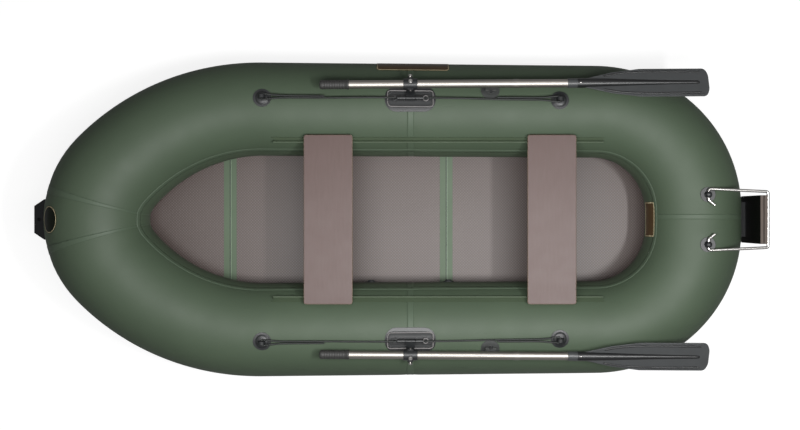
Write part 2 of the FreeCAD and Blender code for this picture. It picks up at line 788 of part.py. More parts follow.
def make_rowlock_arm(name, side):
    """Swivel knuckle on the pin, and an arm out to the stud that carries the oar."""
    frame = skin_frame(place_of("rowlock"), angle("stud_lean"), side)
    barrel = skin_frame(place_of("rowlock"), angle("barrel_lean"), side, size("barrel_height"))
    centre = frame.inverse().multVec(barrel.Base)
    knuckle = cylinder(f"knuckle_{name}", "Sizes.barrel_radius", "Sizes.knuckle_half * 2",
                       shifted(frame, x=-size("knuckle_half"), y=centre.y, z=centre.z, turn=ALONG))
    plate = doc.addObject("Part::Box", f"arm_plate_{name}")
    plate.setExpression("Length", "Sizes.arm_half_width * 2")
    plate.Width = -centre.y
    plate.setExpression("Height", "Sizes.arm_thickness")
    plate.Placement = shifted(frame, -size("arm_half_width"), centre.y, size("arm_height"))
    end = cylinder(f"arm_end_{name}", "Sizes.arm_half_width", "Sizes.arm_thickness",
                   shifted(frame, z=size("arm_height")))
    collar = cylinder(f"collar_{name}", "Sizes.collar_radius",
                      "Sizes.oar_height - Sizes.clamp_radius - Sizes.running_gap - Sizes.arm_height",
                      shifted(frame, z=size("arm_height")))
    stud = cylinder(f"stud_{name}", "Sizes.stud_radius",
                    "Sizes.oar_height + Sizes.clamp_radius + Sizes.nut_height - Sizes.arm_height",
                    shifted(frame, z=size("arm_height")))
    hole = through_bore(f"knuckle_hole_{name}", "Sizes.pin_radius + Sizes.pin_gap",
                        shifted(frame, y=centre.y, z=centre.z, turn=ALONG))
    keep(f"rowlock_arm_{name}", cut(f"rowlock_arm_{name}",
                                    fused(f"arm_stock_{name}", [knuckle, plate, end, collar, stud]), hole))
    top = shifted(frame, z=size("oar_height") + size("clamp_radius") + size("running_gap"),
                  turn=FreeCAD.Rotation(vector(0, 1, 0), -90))
    nut = revolved(f"stud_nut_{name}", top,
                   [("0", "Sizes.stud_radius"), ("0", "Sizes.nut_radius"),
                    ("Sizes.nut_height * Sizes.nut_shoulder_share", "Sizes.nut_radius"),
                    ("Sizes.nut_height", "Sizes.nut_radius * Sizes.nut_top_share"),
                    ("Sizes.nut_height", "0"),
                    ("Sizes.nut_height - Sizes.running_gap", "0"),
                    ("Sizes.nut_height - Sizes.running_gap", "Sizes.stud_radius")])
    keep(f"stud_nut_{name}", nut)


def oar_frame(side):
    """Frame of an oar: x aft along the shaft, z along the stud, origin where they cross."""
    stud = skin_frame(place_of("rowlock"), angle("stud_lean"), side, size("oar_height"))
    up = stud.Rotation.multVec(vector(0, 0, 1))
    outboard = stud.Rotation.multVec(vector(0, 1, 0))
    yaw = angle("oar_yaw")
    along = vector(1, 0, 0) * math.cos(yaw) + outboard * math.sin(yaw)
    return FreeCAD.Placement(stud.Base, FreeCAD.Rotation(along, up.cross(along), up, "ZXY"))


def make_oar(name, side):
    """Alloy shaft with grip, rowlock clamp, joint ferrule and moulded blade."""
    frame = oar_frame(side)
    shaft = revolved(f"oar_tube_{name}", frame,
                     [("Sizes.shaft_fore_end", "Sizes.shaft_radius - Sizes.shaft_wall"),
                      ("Sizes.shaft_fore_end", "Sizes.shaft_radius"),
                      ("Sizes.shoulder_start", "Sizes.shaft_radius"),
                      ("Sizes.shoulder_start", "Sizes.shaft_radius - Sizes.shaft_wall")])
    bore = through_bore(f"shaft_bore_{name}", "Sizes.stud_radius + Sizes.stud_gap", frame)
    keep(f"oar_shaft_{name}", cut(f"oar_shaft_{name}", shaft, bore))
    keep(f"oar_grip_{name}", revolved(
        f"oar_grip_{name}", frame,
        [("Sizes.grip_fore_end", "0"), ("Sizes.grip_fore_end", "Sizes.grip_radius * Sizes.grip_end_share"),
         ("Sizes.grip_fore_end + Sizes.grip_radius * Sizes.grip_round_share", "Sizes.grip_radius"),
         ("Sizes.grip_aft_end - Sizes.grip_radius * Sizes.grip_round_share", "Sizes.grip_radius"),
         ("Sizes.grip_aft_end", "Sizes.shaft_radius"), ("Sizes.shaft_fore_end", "Sizes.shaft_radius"),
         ("Sizes.shaft_fore_end", "0")]))
    keep(f"oar_ferrule_{name}", revolved(
        f"oar_ferrule_{name}", frame,
        [("Sizes.ferrule_fore_end", "Sizes.shaft_radius"),
         ("Sizes.ferrule_fore_end", "Sizes.ferrule_radius"),
         ("Sizes.ferrule_fore_end + Sizes.ferrule_length", "Sizes.ferrule_radius"),
         ("Sizes.ferrule_fore_end + Sizes.ferrule_length", "Sizes.shaft_radius")]))
    make_clamp(name, frame, side)
    make_blade(name, frame)


def make_clamp(name, frame, side):
    """Split sleeve round the shaft, its bolt head inboard and its wing knob outboard."""
    sleeve = cylinder(f"clamp_sleeve_{name}", "Sizes.clamp_radius", "Sizes.clamp_half_length * 2",
                      shifted(frame, x=-size("clamp_half_length"), turn=ALONG))
    ears = block(f"clamp_ears_{name}", "Sizes.clamp_ear * 2",
                 "(Sizes.clamp_radius + Sizes.clamp_ear_rise) * 2", "Sizes.clamp_ear", frame)
    inside = through_bore(f"clamp_inside_{name}", "Sizes.shaft_radius", shifted(frame, turn=ALONG))
    bore = through_bore(f"clamp_bore_{name}", "Sizes.stud_radius + Sizes.stud_gap", frame)
    keep(f"oar_clamp_{name}", cut(f"oar_clamp_{name}", fused(f"clamp_stock_{name}", [sleeve, ears]),
                                  fused(f"clamp_hollow_{name}", [inside, bore])))
    face = size("clamp_radius") + size("clamp_ear_rise")
    outward = shifted(frame, y=side * face, turn=FreeCAD.Rotation(vector(0, 0, 1), side * 90))
    neck = "Sizes.clamp_knob_length * Sizes.clamp_neck_share"
    knob = revolved(f"clamp_knob_{name}", outward,
                    [("0", "0"), ("0", "Sizes.clamp_bolt_radius"), (neck, "Sizes.clamp_bolt_radius"),
                     (neck, "Sizes.clamp_knob_radius"),
                     ("Sizes.clamp_knob_length", "Sizes.clamp_knob_radius"),
                     ("Sizes.clamp_knob_length", "0")])
    inward = shifted(frame, y=-side * face, turn=FreeCAD.Rotation(vector(0, 0, 1), -side * 90))
    head = revolved(f"clamp_head_{name}", inward,
                    [("0", "0"), ("0", "Sizes.clamp_bolt_radius"),
                     ("Sizes.clamp_head_height", "Sizes.clamp_bolt_radius"),
                     ("Sizes.clamp_head_height", "0")])
    pair = doc.addObject("Part::Compound", f"clamp_bolt_{name}")
    pair.Links = [knob, head]
    keep(f"clamp_bolt_{name}", pair)


def make_blade(name, frame):
    """Moulded blade: socket, tapered spine, broad plate with a curved tip and edge ribs."""
    half = "Sizes.blade_width / 2"
    plate = new_body(f"blade_plate_{name}", frame)
    sketch = sketch_on(plate, f"blade_outline_{name}", "XY_Plane", "-Sizes.blade_thickness / 2")
    tip = "Sizes.blade_tip - Sizes.blade_tip_bulge"
    middle = "(Sizes.shoulder_start + Sizes.shoulder_end) / 2"
    root_half = "Sizes.socket_radius * Sizes.blade_root_share"
    middle_half = "Sizes.blade_width * Sizes.blade_mid_share"
    tip_half = "Sizes.blade_width * Sizes.blade_tip_share"
    draw_outline(sketch, [
        ("Sizes.shoulder_start", "-" + root_half), (middle, "-" + middle_half),
        ("Sizes.shoulder_end", "-" + half), (tip, "-" + half),
        ("Sizes.blade_tip", "-" + tip_half), ("Sizes.blade_tip", tip_half),
        (tip, half), ("Sizes.shoulder_end", half),
        (middle, middle_half), ("Sizes.shoulder_start", root_half)])
    slab = pad(plate, sketch, "Sizes.blade_thickness")
    slab = rounded(plate, slab, upright_at(number(tip)), "Sizes.blade_corner")
    slab = rounded(plate, slab, upright_at(number("Sizes.blade_tip")), "Sizes.blade_tip_round")
    slab = rounded(plate, slab, upright_at(number("Sizes.shoulder_end")),
                   "Sizes.blade_shoulder_round")
    slab = rounded(plate, slab, upright_at(number(middle)), "Sizes.blade_shoulder_round")
    rounded(plate, slab, lambda edge: not runs_along(vector(0, 0, 1))(edge)
            and edge.BoundBox.XMax > size("shoulder_end"), "Sizes.blade_edge")
    spine = revolved(f"blade_spine_{name}", frame,
                     [("Sizes.socket_start", "0"), ("Sizes.socket_start", "Sizes.socket_radius"),
                      ("Sizes.shoulder_start", "Sizes.socket_radius"),
                      ("Sizes.spine_end", "Sizes.spine_end_radius"), ("Sizes.spine_end", "0")])
    pieces = [plate, spine]
    for edge in (-1, 1):
        pieces.append(block(
            f"blade_rib_{name}", "Sizes.blade_tip - Sizes.shoulder_end - Sizes.blade_rib_end_gap",
            "Sizes.blade_rib_width", "Sizes.blade_thickness + Sizes.blade_rib_height * 2", frame,
            ("(Sizes.blade_tip + Sizes.shoulder_end - Sizes.blade_rib_end_gap) / 2",
             f"{edge} * ({half} - Sizes.blade_rib_inset)", "0")))
    inside = cylinder(f"blade_socket_{name}", "Sizes.shaft_radius",
                      "Sizes.shoulder_start - Sizes.socket_start",
                      shifted(frame, x=size("socket_start"), turn=ALONG))
    keep(f"oar_blade_{name}", cut(f"oar_blade_{name}", fused(f"blade_stock_{name}", pieces), inside))


def make_oar_holder(name, side, tubes):
    """Patch, post and saddle that the stowed shaft lies on, with a low inboard knob."""
    place = place_of("holder")
    frame = skin_frame(place, angle("stud_lean"), side)
    pivot = oar_frame(side)
    shaft = frame.inverse().multVec(pivot.multVec(vector(place - place_of("rowlock"), 0, 0)))
    seat = shaft.z - size("shaft_radius") - size("running_gap")
    patch = cylinder(f"holder_patch_{name}", "Sizes.holder_disc_radius",
                     "Sizes.cut_overrun + Sizes.holder_disc_thickness",
                     shifted(frame, z=-size("cut_overrun")))
    disc = common(f"holder_disc_{name}", patch,
                  sheath(f"holder_sheath_{name}", place, "Sizes.holder_disc_thickness",
                         "Sizes.holder_disc_radius * 2", frame))
    post = doc.addObject("Part::Cylinder", f"holder_post_{name}")
    post.setExpression("Radius", "Sizes.holder_post_radius")
    post.Height = seat - size("saddle_thickness") / 2
    post.Placement = frame
    saddle = doc.addObject("Part::Box", f"holder_saddle_{name}")
    saddle.setExpression("Length", "Sizes.saddle_length")
    saddle.setExpression("Width", "Sizes.saddle_width")
    saddle.setExpression("Height", "Sizes.saddle_thickness")
    saddle.Placement = shifted(frame, -size("saddle_length") / 2, shaft.y - size("saddle_width") / 2,
                               seat - size("saddle_thickness"))
    stock = fused(f"holder_stock_{name}", [disc, post, saddle])
    keep(f"oar_holder_{name}", cut(f"oar_holder_{name}", stock, tubes[1]))
    knob = doc.addObject("Part::Cylinder", f"holder_knob_{name}")
    knob.setExpression("Radius", "Sizes.holder_knob_radius")
    knob.Height = shaft.z - size("holder_knob_below") - seat
    knob.Placement = shifted(frame, y=shaft.y + size("holder_knob_side"), z=seat)
    keep(f"holder_knob_{name}", knob)


def make_rope_eye(label, place, side, tube):
    """Round patch with a low dome and an upright ear, bored across for the lifeline."""
    frame = skin_frame(place, angle("barrel_lean"), side)
    patch = cylinder(label + "_patch", "Sizes.eye_disc_radius",
                     "Sizes.cut_overrun + Sizes.eye_disc_thickness", shifted(frame, z=-size("cut_overrun")))
    disc = common(label + "_disc", patch, sheath(label + "_sheath", place, "Sizes.eye_disc_thickness",
                                                 "Sizes.eye_disc_radius * 2", frame))
    dome = revolved(label + "_dome", shifted(frame, turn=FreeCAD.Rotation(vector(0, 1, 0), -90)),
                    [(f"Sizes.eye_dome_height * {rise}", f"Sizes.eye_dome_radius * {reach}")
                     for rise, reach in DOME_SHARES])
    ear = block(label + "_ear", "Sizes.ear_plate_length", "Sizes.ear_plate_thickness", "Sizes.rope_height",
                frame, ("0", "0", "Sizes.rope_height / 2"))
    crown = cylinder(label + "_crown", "Sizes.ear_plate_length / 2", "Sizes.ear_plate_thickness",
                     shifted(frame, y=-size("ear_plate_thickness") / 2, z=size("rope_height"), turn=ACROSS))
    hole = through_bore(label + "_hole", "Sizes.ear_hole_radius",
                        shifted(frame, z=size("rope_height"), turn=ACROSS))
    stock = cut(label + "_bored", fused(label + "_stock", [disc, dome, ear, crown]), hole)
    keep(label, cut(label, stock, tube))


def make_lifeline(name, side):
    """Taut rope, spliced back on itself round each end eye, and down the rowlock's two holes."""
    lean = angle("barrel_lean")
    gap = size("ear_plate_thickness") / 2 + size("rope_radius") + size("running_gap")
    beside = size("rope_radius") + size("pin_gap")
    turn = size("ear_hole_radius") - size("rope_radius") - size("pin_gap")
    reach = size("rope_height")
    rowlock = skin_frame(place_of("rowlock"), lean, side)

    def spot(x, y):
        return skin_frame(x, lean, side, reach).multVec(vector(0, y, 0))

    runs = []
    for place, end in ((place_of("eye_fore"), -1), (place_of("eye_aft"), 1)):
        loop = place + end * turn / 2
        hole = side * end * size("rope_pad_place")
        run = place_of("rowlock") + end * size("rope_pad_place") - loop
        shoulder = place - end * (size("ear_plate_length") / 2 + size("rope_radius"))
        split = loop + run * size("rope_split_share")
        tail = loop + run * size("rope_tail_share")
        join = loop + run * (1 - size("rope_join_share"))
        points = [spot(tail, beside), spot(split, beside), spot(shoulder, gap), spot(loop, gap),
                  spot(loop, -gap), spot(shoulder, -gap), spot(split, -beside), spot(tail, -beside),
                  spot(join, 0),
                  rowlock.multVec(vector(hole, 0, reach)),
                  rowlock.multVec(vector(hole, 0, size("flange_thickness")))]
        runs.append(round_bar(points, size("rope_bend"), size("rope_radius")))
    keep(f"lifeline_{name}", feature(f"lifeline_{name}", Part.makeCompound(runs)))


def make_cleat(name, side, tube):
    """Round patch, neck and ball, bored across for the hooked end of the transom's rod."""
    x = size("hull_length") / 2 - size("cleat_inset")
    frame = level_frame(x, side * size("cleat_side"), 0)
    rod_height = Path.stern_top + size("rod_rise")
    skin = tube_height(x) + tube_radius(x)
    low = Path.stern_radius
    pieces = []
    for kind, radius, top in (("patch", "Sizes.cleat_disc_radius", skin + size("cleat_disc_thickness")),
                              ("neck", "Sizes.cleat_neck_radius", rod_height)):
        post = doc.addObject("Part::Cylinder", f"cleat_{kind}_{name}")
        post.setExpression("Radius", radius)
        post.Height = top - low
        post.Placement = shifted(frame, z=low)
        pieces.append(post)
    ball = doc.addObject("Part::Sphere", f"cleat_ball_{name}")
    ball.setExpression("Radius", "Sizes.cleat_ball_radius")
    ball.Placement = shifted(frame, z=rod_height)
    hole = through_bore(f"cleat_hole_{name}", "Sizes.rod_radius + Sizes.cleat_hole_gap",
                        shifted(frame, z=rod_height, turn=ACROSS))
    bored = cut(f"cleat_bored_{name}", fused(f"cleat_stock_{name}", pieces + [ball]), hole)
    keep(f"transom_cleat_{name}", cut(f"transom_cleat_{name}", bored, tube))


def make_transom(tubes):
    """Bent rod through the two cleats, and a two-layer plate hung on its cross bar."""
    rod = size("rod_radius")
    z = Path.stern_top + size("rod_rise")
    plate_x = size("hull_length") / 2 + size("plate_gap")
    pad_x = plate_x + size("plate_thickness") + size("plate_joint_gap")
    outer_x = pad_x + size("pad_thickness") + size("rod_seat_gap") + rod
    hook_x = size("hull_length") / 2 - size("cleat_inset")
    bend_side = size("cleat_ball_radius") + size("rod_bend")
    points = []
    for side in (1, -1):
        half = [vector(hook_x + size("rod_hook_reach"), side * size("rod_hook_side"), z),
                vector(hook_x, side * (size("cleat_side") - bend_side), z),
                vector(hook_x, side * (size("cleat_side") + bend_side), z),
                vector(outer_x, side * (size("plate_width") / 2 + rod + size("rod_side_gap")), z)]
        points += half if side > 0 else reversed(half)
    keep("transom_frame", feature("transom_frame", round_bar(points, size("rod_bend"), rod)))
    top = Path.stern_top + size("plate_rise")
    for label, start, thickness in (("transom_plate", plate_x, "Sizes.plate_thickness"),
                                    ("transom_pad", pad_x, "Sizes.pad_thickness")):
        body = new_body(label, level_frame(start, 0, top))
        sketch = sketch_on(body, label + "_outline", "YZ_Plane")
        half_y = "Sizes.plate_width / 2"
        bottom = "-Sizes.plate_drop"
        draw_outline(sketch, [("-" + half_y, bottom), (half_y, bottom), (half_y, "0"), ("-" + half_y, "0")])
        board = pad(body, sketch, thickness)
        rounded(body, board, lambda edge: runs_along(vector(1, 0, 0))(edge)
                and edge.CenterOfMass.z < -size("plate_drop") / 2, "Sizes.plate_corner")
        keep(label, body)
    rest = doc.addObject("Part::Box", "transom_rest_block")
    rest.setExpression("Length", "Sizes.plate_gap + Sizes.cut_overrun")
    rest.setExpression("Width", "Sizes.rest_width")
    rest.setExpression("Height", "Sizes.rest_height")
    rest.Placement = level_frame(plate_x - number("Sizes.plate_gap + Sizes.cut_overrun"),
                                 -size("rest_width") / 2,
                                 Path.stern_radius + size("stern_lift") - size("rest_height") / 2)
    keep("transom_rest", cut("transom_rest", rest, tubes[1]))


def make_tow_eye(tube):
    """Moulded block on the nose with an upright hole for the painter."""
    front = -size("hull_length") / 2 - size("tow_reach")
    body = new_body("tow_eye_block", level_frame(front, 0, tube_height(Path.nose_x)))
    sketch = sketch_on(body, "tow_eye_outline", "XY_Plane", "-Sizes.tow_height / 2")
    draw_outline(sketch, [
        ("0", "-Sizes.tow_front_half"), ("0", "Sizes.tow_front_half"),
        ("Sizes.tow_reach", "Sizes.tow_back_half"),
        ("Sizes.tow_reach + Sizes.cut_overrun", "Sizes.tow_back_half"),
        ("Sizes.tow_reach + Sizes.cut_overrun", "-Sizes.tow_back_half"),
        ("Sizes.tow_reach", "-Sizes.tow_back_half")])
    pad(body, sketch, "Sizes.tow_height")
    hole_sketch = sketch_on(body, "tow_eye_hole", "XY_Plane")
    draw_circle(hole_sketch, "Sizes.tow_hole_radius", "Sizes.tow_reach / 2")
    pocket(body, hole_sketch)
    keep("tow_eye", cut("tow_eye", body, tube))


def make_valve(label, place, side, tube):
    """Flanged air valve with its screw cap, on the inner side of a tube."""
    frame = skin_frame(place, angle("valve_lean"), side)
    turned = shifted(frame, turn=FreeCAD.Rotation(vector(0, 1, 0), -90))
    body = revolved(label + "_turned", turned,
                    [("-Sizes.valve_disc_thickness * 2", "0"),
                     ("-Sizes.valve_disc_thickness * 2", "Sizes.valve_disc_radius"),
                     ("Sizes.valve_disc_thickness", "Sizes.valve_disc_radius"),
                     ("Sizes.valve_disc_thickness", "Sizes.valve_cap_radius"),
                     ("Sizes.valve_disc_thickness + Sizes.valve_cap_height",
                      "Sizes.valve_cap_radius * Sizes.valve_cap_share"),
                     ("Sizes.valve_disc_thickness + Sizes.valve_cap_height", "0")])
    keep(label, cut(label, body, tube))


tube_pair = make_tubes()
make_bottom(tube_pair)
make_seat_tracks(tube_pair)
make_seats()
for side_name, side_sign in SIDES.items():
    make_rowlock_base(side_name, side_sign, tube_pair)
    make_rowlock_arm(side_name, side_sign)
    make_oar(side_name, side_sign)
    make_oar_holder(side_name, side_sign, tube_pair)
    make_rope_eye(f"rope_eye_fore_{side_name}", place_of("eye_fore"), side_sign, tube_pair[0])
    make_rope_eye(f"rope_eye_aft_{side_name}", place_of("eye_aft"), side_sign, tube_pair[1])
    make_lifeline(side_name, side_sign)
    make_cleat(side_name, side_sign, tube_pair[1])
make_transom(tube_pair)
make_tow_eye(tube_pair[0])
make_valve("valve_fore", place_of("valve_fore"), SIDES["port"], tube_pair[0])
make_valve("valve_aft", place_of("valve_aft"), SIDES["port"], tube_pair[1])

# Checks and files

doc.recompute()
failed = [item.Name for item in doc.Objects if {"Invalid", "Error"} & set(item.State)]
if failed:
    raise RuntimeError(f"not computed: {failed}")
for label, piece in finished.items():
    if piece.Shape.isNull() or not piece.Shape.isValid() or not piece.Shape.Solids:
        raise RuntimeError(f"{label} has no valid solid")
os.makedirs("parts", exist_ok=True)
for label, piece in finished.items():
    piece.Shape.exportStep(f"parts/{label}.step")
    print(f"{label}: {len(piece.Shape.Solids)} solids, {piece.Shape.Volume / 1000:.1f} cm3")
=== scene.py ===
# %% [markdown]
# # An inflatable rowing boat from straight above
# The boat is a ring of air tube round a folding plywood floor, with two sliding thwarts, two stowed
# oars, lifelines and a small transom hung on a bent steel rod. The imported CAD model gives every size
# and place, so this lesson starts by loading it.

import math

import bmesh
import bpy
from mathutils import Matrix, Vector, noise


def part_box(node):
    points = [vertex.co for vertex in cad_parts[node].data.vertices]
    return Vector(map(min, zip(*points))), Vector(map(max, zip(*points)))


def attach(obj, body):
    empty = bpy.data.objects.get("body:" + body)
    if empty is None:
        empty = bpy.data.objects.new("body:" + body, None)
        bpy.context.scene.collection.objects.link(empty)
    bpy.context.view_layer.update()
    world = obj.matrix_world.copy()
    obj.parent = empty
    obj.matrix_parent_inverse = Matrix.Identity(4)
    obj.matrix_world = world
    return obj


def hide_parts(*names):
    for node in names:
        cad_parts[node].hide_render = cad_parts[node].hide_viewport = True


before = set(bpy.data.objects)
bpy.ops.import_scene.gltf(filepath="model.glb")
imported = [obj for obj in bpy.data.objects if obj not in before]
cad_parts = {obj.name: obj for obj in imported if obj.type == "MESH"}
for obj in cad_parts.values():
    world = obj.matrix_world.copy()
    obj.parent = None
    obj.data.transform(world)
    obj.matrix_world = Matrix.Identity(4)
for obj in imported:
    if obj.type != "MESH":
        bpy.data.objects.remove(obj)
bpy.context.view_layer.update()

# %% [markdown]
# ## The camera
# The picture was taken from straight above, near enough that perspective shows: the inner walls of the
# tubes lean outwards and the transom's plate shows its inner face. A real lens has one centre, so the
# camera hangs over one point and looks down with no shift. Its height and lens were solved from pieces
# whose heights are known, such as the floor and the tops of the tubes.

# %% Camera
PHOTO_WIDTH = 800
FOCAL_PIXELS = 1085
SENSOR_MM = 36
CAMERA_PLACE = Vector((0.027, 0.019, 4.924))

camera_data = bpy.data.cameras.new("camera")
camera_data.sensor_width = SENSOR_MM
camera_data.lens = SENSOR_MM * FOCAL_PIXELS / PHOTO_WIDTH
camera = bpy.data.objects.new("camera", camera_data)
camera.location = CAMERA_PLACE
bpy.context.scene.collection.objects.link(camera)
bpy.context.scene.camera = camera
print("lens", round(camera_data.lens, 1), "mm")

# %% [markdown]
# ## Helpers for finishes
# Colours are given as sRGB hex, the way a paint card gives them, but shaders add light in
# linear numbers, so one function turns them. A second one adds a node with its settings and links and
# hands back its output, so that a material below reads like a list of what the eye sees in it.

# %% Colour and node helpers
def linear(hex_colour):
    """An sRGB colour such as "435040" as linear red, green, blue and alpha."""
    parts = [int(hex_colour[index:index + 2], 16) / 255 for index in (0, 2, 4)]
    return [part / 12.92 if part <= 0.04045 else ((part + 0.055) / 1.055) ** 2.4
            for part in parts] + [1]


def add(tree, kind, inputs=None, out=None, **settings):
    """Adds a node and returns its first live output, or the one named by out.

    inputs maps a socket's name, or its number among the live ones, to a value, a hex colour or
    an output.
    """
    node = tree.nodes.new("ShaderNode" + kind)
    for name, value in settings.items():
        setattr(node, name, value)
    live = [socket for socket in node.inputs if socket.enabled]
    for key, value in (inputs or {}).items():
        socket = live[key] if isinstance(key, int) else node.inputs[key]
        if isinstance(value, bpy.types.NodeSocket):
            tree.links.new(value, socket)
        else:
            socket.default_value = linear(value) if isinstance(value, str) else value
    if out:
        return node.outputs[out]
    return next((socket for socket in node.outputs if socket.enabled), None)


def new_material(name):
    """An empty material and its node tree."""
    material = bpy.data.materials.new(name)
    material.use_nodes = True
    material.node_tree.nodes.clear()
    return material, material.node_tree


print("hull green", [round(value, 3) for value in linear("435040")])

# %% [markdown]
# ## Studio floor
# A product like this lies on a pale paper sweep in a dim studio. The floor looks white to the lens and
# through clear things, but lends little light of its own: a ray that has bounced off matt cloth meets
# a dark floor, and a reflection a dim one. It keeps the boat's shadow, because only a part of its
# white is its own glow.

# %% Studio floor
FLOOR_HALF = 30.0
PAPER_GRAIN_MM = 25
GLOW_SEEN, GLOW_REFLECTED = 0.86, 0.1


def seen_directly(tree):
    """1 for the lens, reflections and clear materials, and 0 for light bounced off matt things."""
    kinds = ("Is Camera Ray", "Is Glossy Ray", "Is Transmission Ray")
    rays = [add(tree, "LightPath", out=kind) for kind in kinds]
    either = add(tree, "Math", {0: rays[0], 1: rays[1]}, operation="MAXIMUM")
    return add(tree, "Math", {0: either, 1: rays[2]}, operation="MAXIMUM")


sweep_paper, tree = new_material("matt paper sweep")
seen = seen_directly(tree)
grain = add(tree, "TexNoise", {"Vector": add(tree, "TexCoord", out="Object"),
                               "Scale": 1000 / PAPER_GRAIN_MM})
paper = add(tree, "Mix", {0: grain, 1: "8E8E8E", 2: "929292"}, data_type="RGBA")
colour = add(tree, "Mix", {0: seen, 1: "2A2A2A", 2: paper}, data_type="RGBA")
reflected = add(tree, "LightPath", out="Is Glossy Ray")
strength = add(tree, "Mix", {0: reflected, 1: GLOW_SEEN, 2: GLOW_REFLECTED})
glow = add(tree, "Math", {0: seen, 1: strength}, operation="MULTIPLY")
shader = add(tree, "BsdfPrincipled", {"Base Color": colour, "Roughness": 0.9, "Specular IOR Level": 0.0,
                                      "Emission Color": "FFFFFF", "Emission Strength": glow})
add(tree, "OutputMaterial", {"Surface": shader})

form = bmesh.new()
bmesh.ops.create_grid(form, x_segments=1, y_segments=1, size=FLOOR_HALF)
floor_mesh = bpy.data.meshes.new("studio_floor")
form.to_mesh(floor_mesh)
form.free()
floor_mesh.materials.append(sweep_paper)
studio_floor = bpy.data.objects.new("studio_floor", floor_mesh)
bpy.context.scene.collection.objects.link(studio_floor)
print("floor", 2 * FLOOR_HALF, "m wide")

# %% [markdown]
# ## Sky
# The sky looks white to the lens too, and gives matt things only a faint dome. In reflections it is
# bright only overhead, as under a real soft box, so the satin cloth keeps its sheen on the crests while
# its flanks stay dark.

# %% Sky
DOME_LIGHT = 0.16
SHINE_OVERHEAD = {"From Min": 0.45, "From Max": 0.95, "To Min": 0.28}

world = bpy.data.worlds.new("studio")
bpy.context.scene.world = world
world.use_nodes = True
tree = world.node_tree
tree.nodes.clear()
up = add(tree, "SeparateXYZ", {0: add(tree, "TexCoord", out="Generated")}, "Z")
dome = add(tree, "MapRange", {"Value": up, "To Min": 0.0, "To Max": DOME_LIGHT})
overhead = add(tree, "MapRange", {"Value": up, **SHINE_OVERHEAD})
direct = add(tree, "Mix", {0: add(tree, "LightPath", out="Is Glossy Ray"), 1: 1.0, 2: overhead})
level = add(tree, "Mix", {0: seen_directly(tree), 1: dome, 2: direct})
add(tree, "OutputWorld", {"Surface": add(tree, "Background", {"Color": "FFFFFF", "Strength": level})})
bpy.context.scene.view_settings.view_transform = "Standard"
print("dome", DOME_LIGHT)

# %% [markdown]
# ## Lamps
# In the picture both outer flanks and the nose fall off into the dark, and the crests are brightest a
# little inboard, so a soft box hangs over the middle, a little to port. A narrow lamp further aft draws
# the aft thwart's shadow across the floor. The lens doesn't see either.

# %% Lamps
LAMPS = {"soft_box": ((0.1, -0.3, 2.7), (2.4, 0.7), 59),
         "stern_lamp": ((1.95, -0.45, 4.3), (0.25, 0.9), 72)}

for name, (place, size, watts) in LAMPS.items():
    lamp_data = bpy.data.lights.new(name, "AREA")
    lamp_data.shape = "RECTANGLE"
    lamp_data.size, lamp_data.size_y = size
    lamp_data.energy = watts
    lamp = bpy.data.objects.new(name, lamp_data)
    lamp.location = place
    lamp.visible_camera = False
    bpy.context.scene.collection.objects.link(lamp)
print("lamps", list(LAMPS))

# %% [markdown]
# ## Coated fabric
# The tubes are PVC-coated polyester: a woven base cloth under a calendered, faintly glossy skin. From a
# few metres the eye sees an even olive green with a broad soft sheen and very shallow puckers, which
# come from the blown cloth pulling at its seams. A seam's tape comes from another roll, so it is a
# shade paler. The thread print is 1 mm on the real cloth and is drawn at 3 mm, so that it shows at
# all. It follows the cloth's own UV map, in metres; moulded pieces of the same PVC read object space.

# %% Coated fabrics
THREAD_MM = 3.0
SHADE_MM, SPECKLE_MM, PUCKER_MM = 260, 7, 90
SPECKLE_SHARE = 0.25
PUCKER_DEPTH, THREAD_DEPTH = 0.0014, 0.00003
# Painted shade: the near-black colour below a groove's floor stands in for the shadow inside the groove.
GROOVE_PAINTED_SHADE = "1C241B"
JOINT_GROOVE_Z = 0.0389


def wave_scale(pitch_mm):
    """The scale at which a Wave texture repeats every pitch_mm, on coordinates in metres."""
    return 2 * math.pi * 1000 / (20 * pitch_mm)


def coated_fabric(name, low, high, roughness, on="UV", groove_z=0.0):
    """Coated cloth; below groove_z its colour turns to a painted shade, for the dark inside a groove."""
    material, tree = new_material(name)
    place, cloth = add(tree, "TexCoord", out="Object"), add(tree, "TexCoord", out=on)
    shade = add(tree, "TexNoise", {"Vector": place, "Scale": 1000 / SHADE_MM, "Detail": 3.0})
    speckle = add(tree, "TexNoise", {"Vector": place, "Scale": 1000 / SPECKLE_MM, "Detail": 2.0})
    mixed = add(tree, "Math", {0: speckle, 1: SPECKLE_SHARE, 2: shade}, operation="MULTIPLY_ADD")
    puckers = add(tree, "TexNoise", {"Vector": place, "Scale": 1000 / PUCKER_MM, "Detail": 1.5})
    threads = [add(tree, "TexWave", {"Vector": cloth, "Scale": wave_scale(THREAD_MM)}, "Fac",
                   bands_direction=axis, wave_profile="SIN") for axis in ("X", "Y")]
    weave = add(tree, "Math", {0: threads[0], 1: threads[1]}, operation="MULTIPLY")
    soft = add(tree, "Bump", {"Height": puckers, "Distance": PUCKER_DEPTH})
    fine = add(tree, "Bump", {"Height": weave, "Distance": THREAD_DEPTH, "Normal": soft})
    dull = add(tree, "MapRange", {"Value": puckers, "To Min": roughness - 0.05,
                                  "To Max": roughness + 0.06})
    colour = add(tree, "Mix", {0: mixed, 1: low, 2: high}, data_type="RGBA")
    level = add(tree, "SeparateXYZ", {0: place}, "Z")
    in_painted_groove_shade = add(tree, "Math", {0: level, 1: groove_z}, operation="LESS_THAN")
    shader = add(tree, "BsdfPrincipled", {
        "Base Color": add(tree, "Mix", {0: in_painted_groove_shade, 1: colour, 2: GROOVE_PAINTED_SHADE}, data_type="RGBA"),
        "Roughness": dull, "Normal": fine, "Specular IOR Level": 0.35})
    add(tree, "OutputMaterial", {"Surface": shader})
    return material


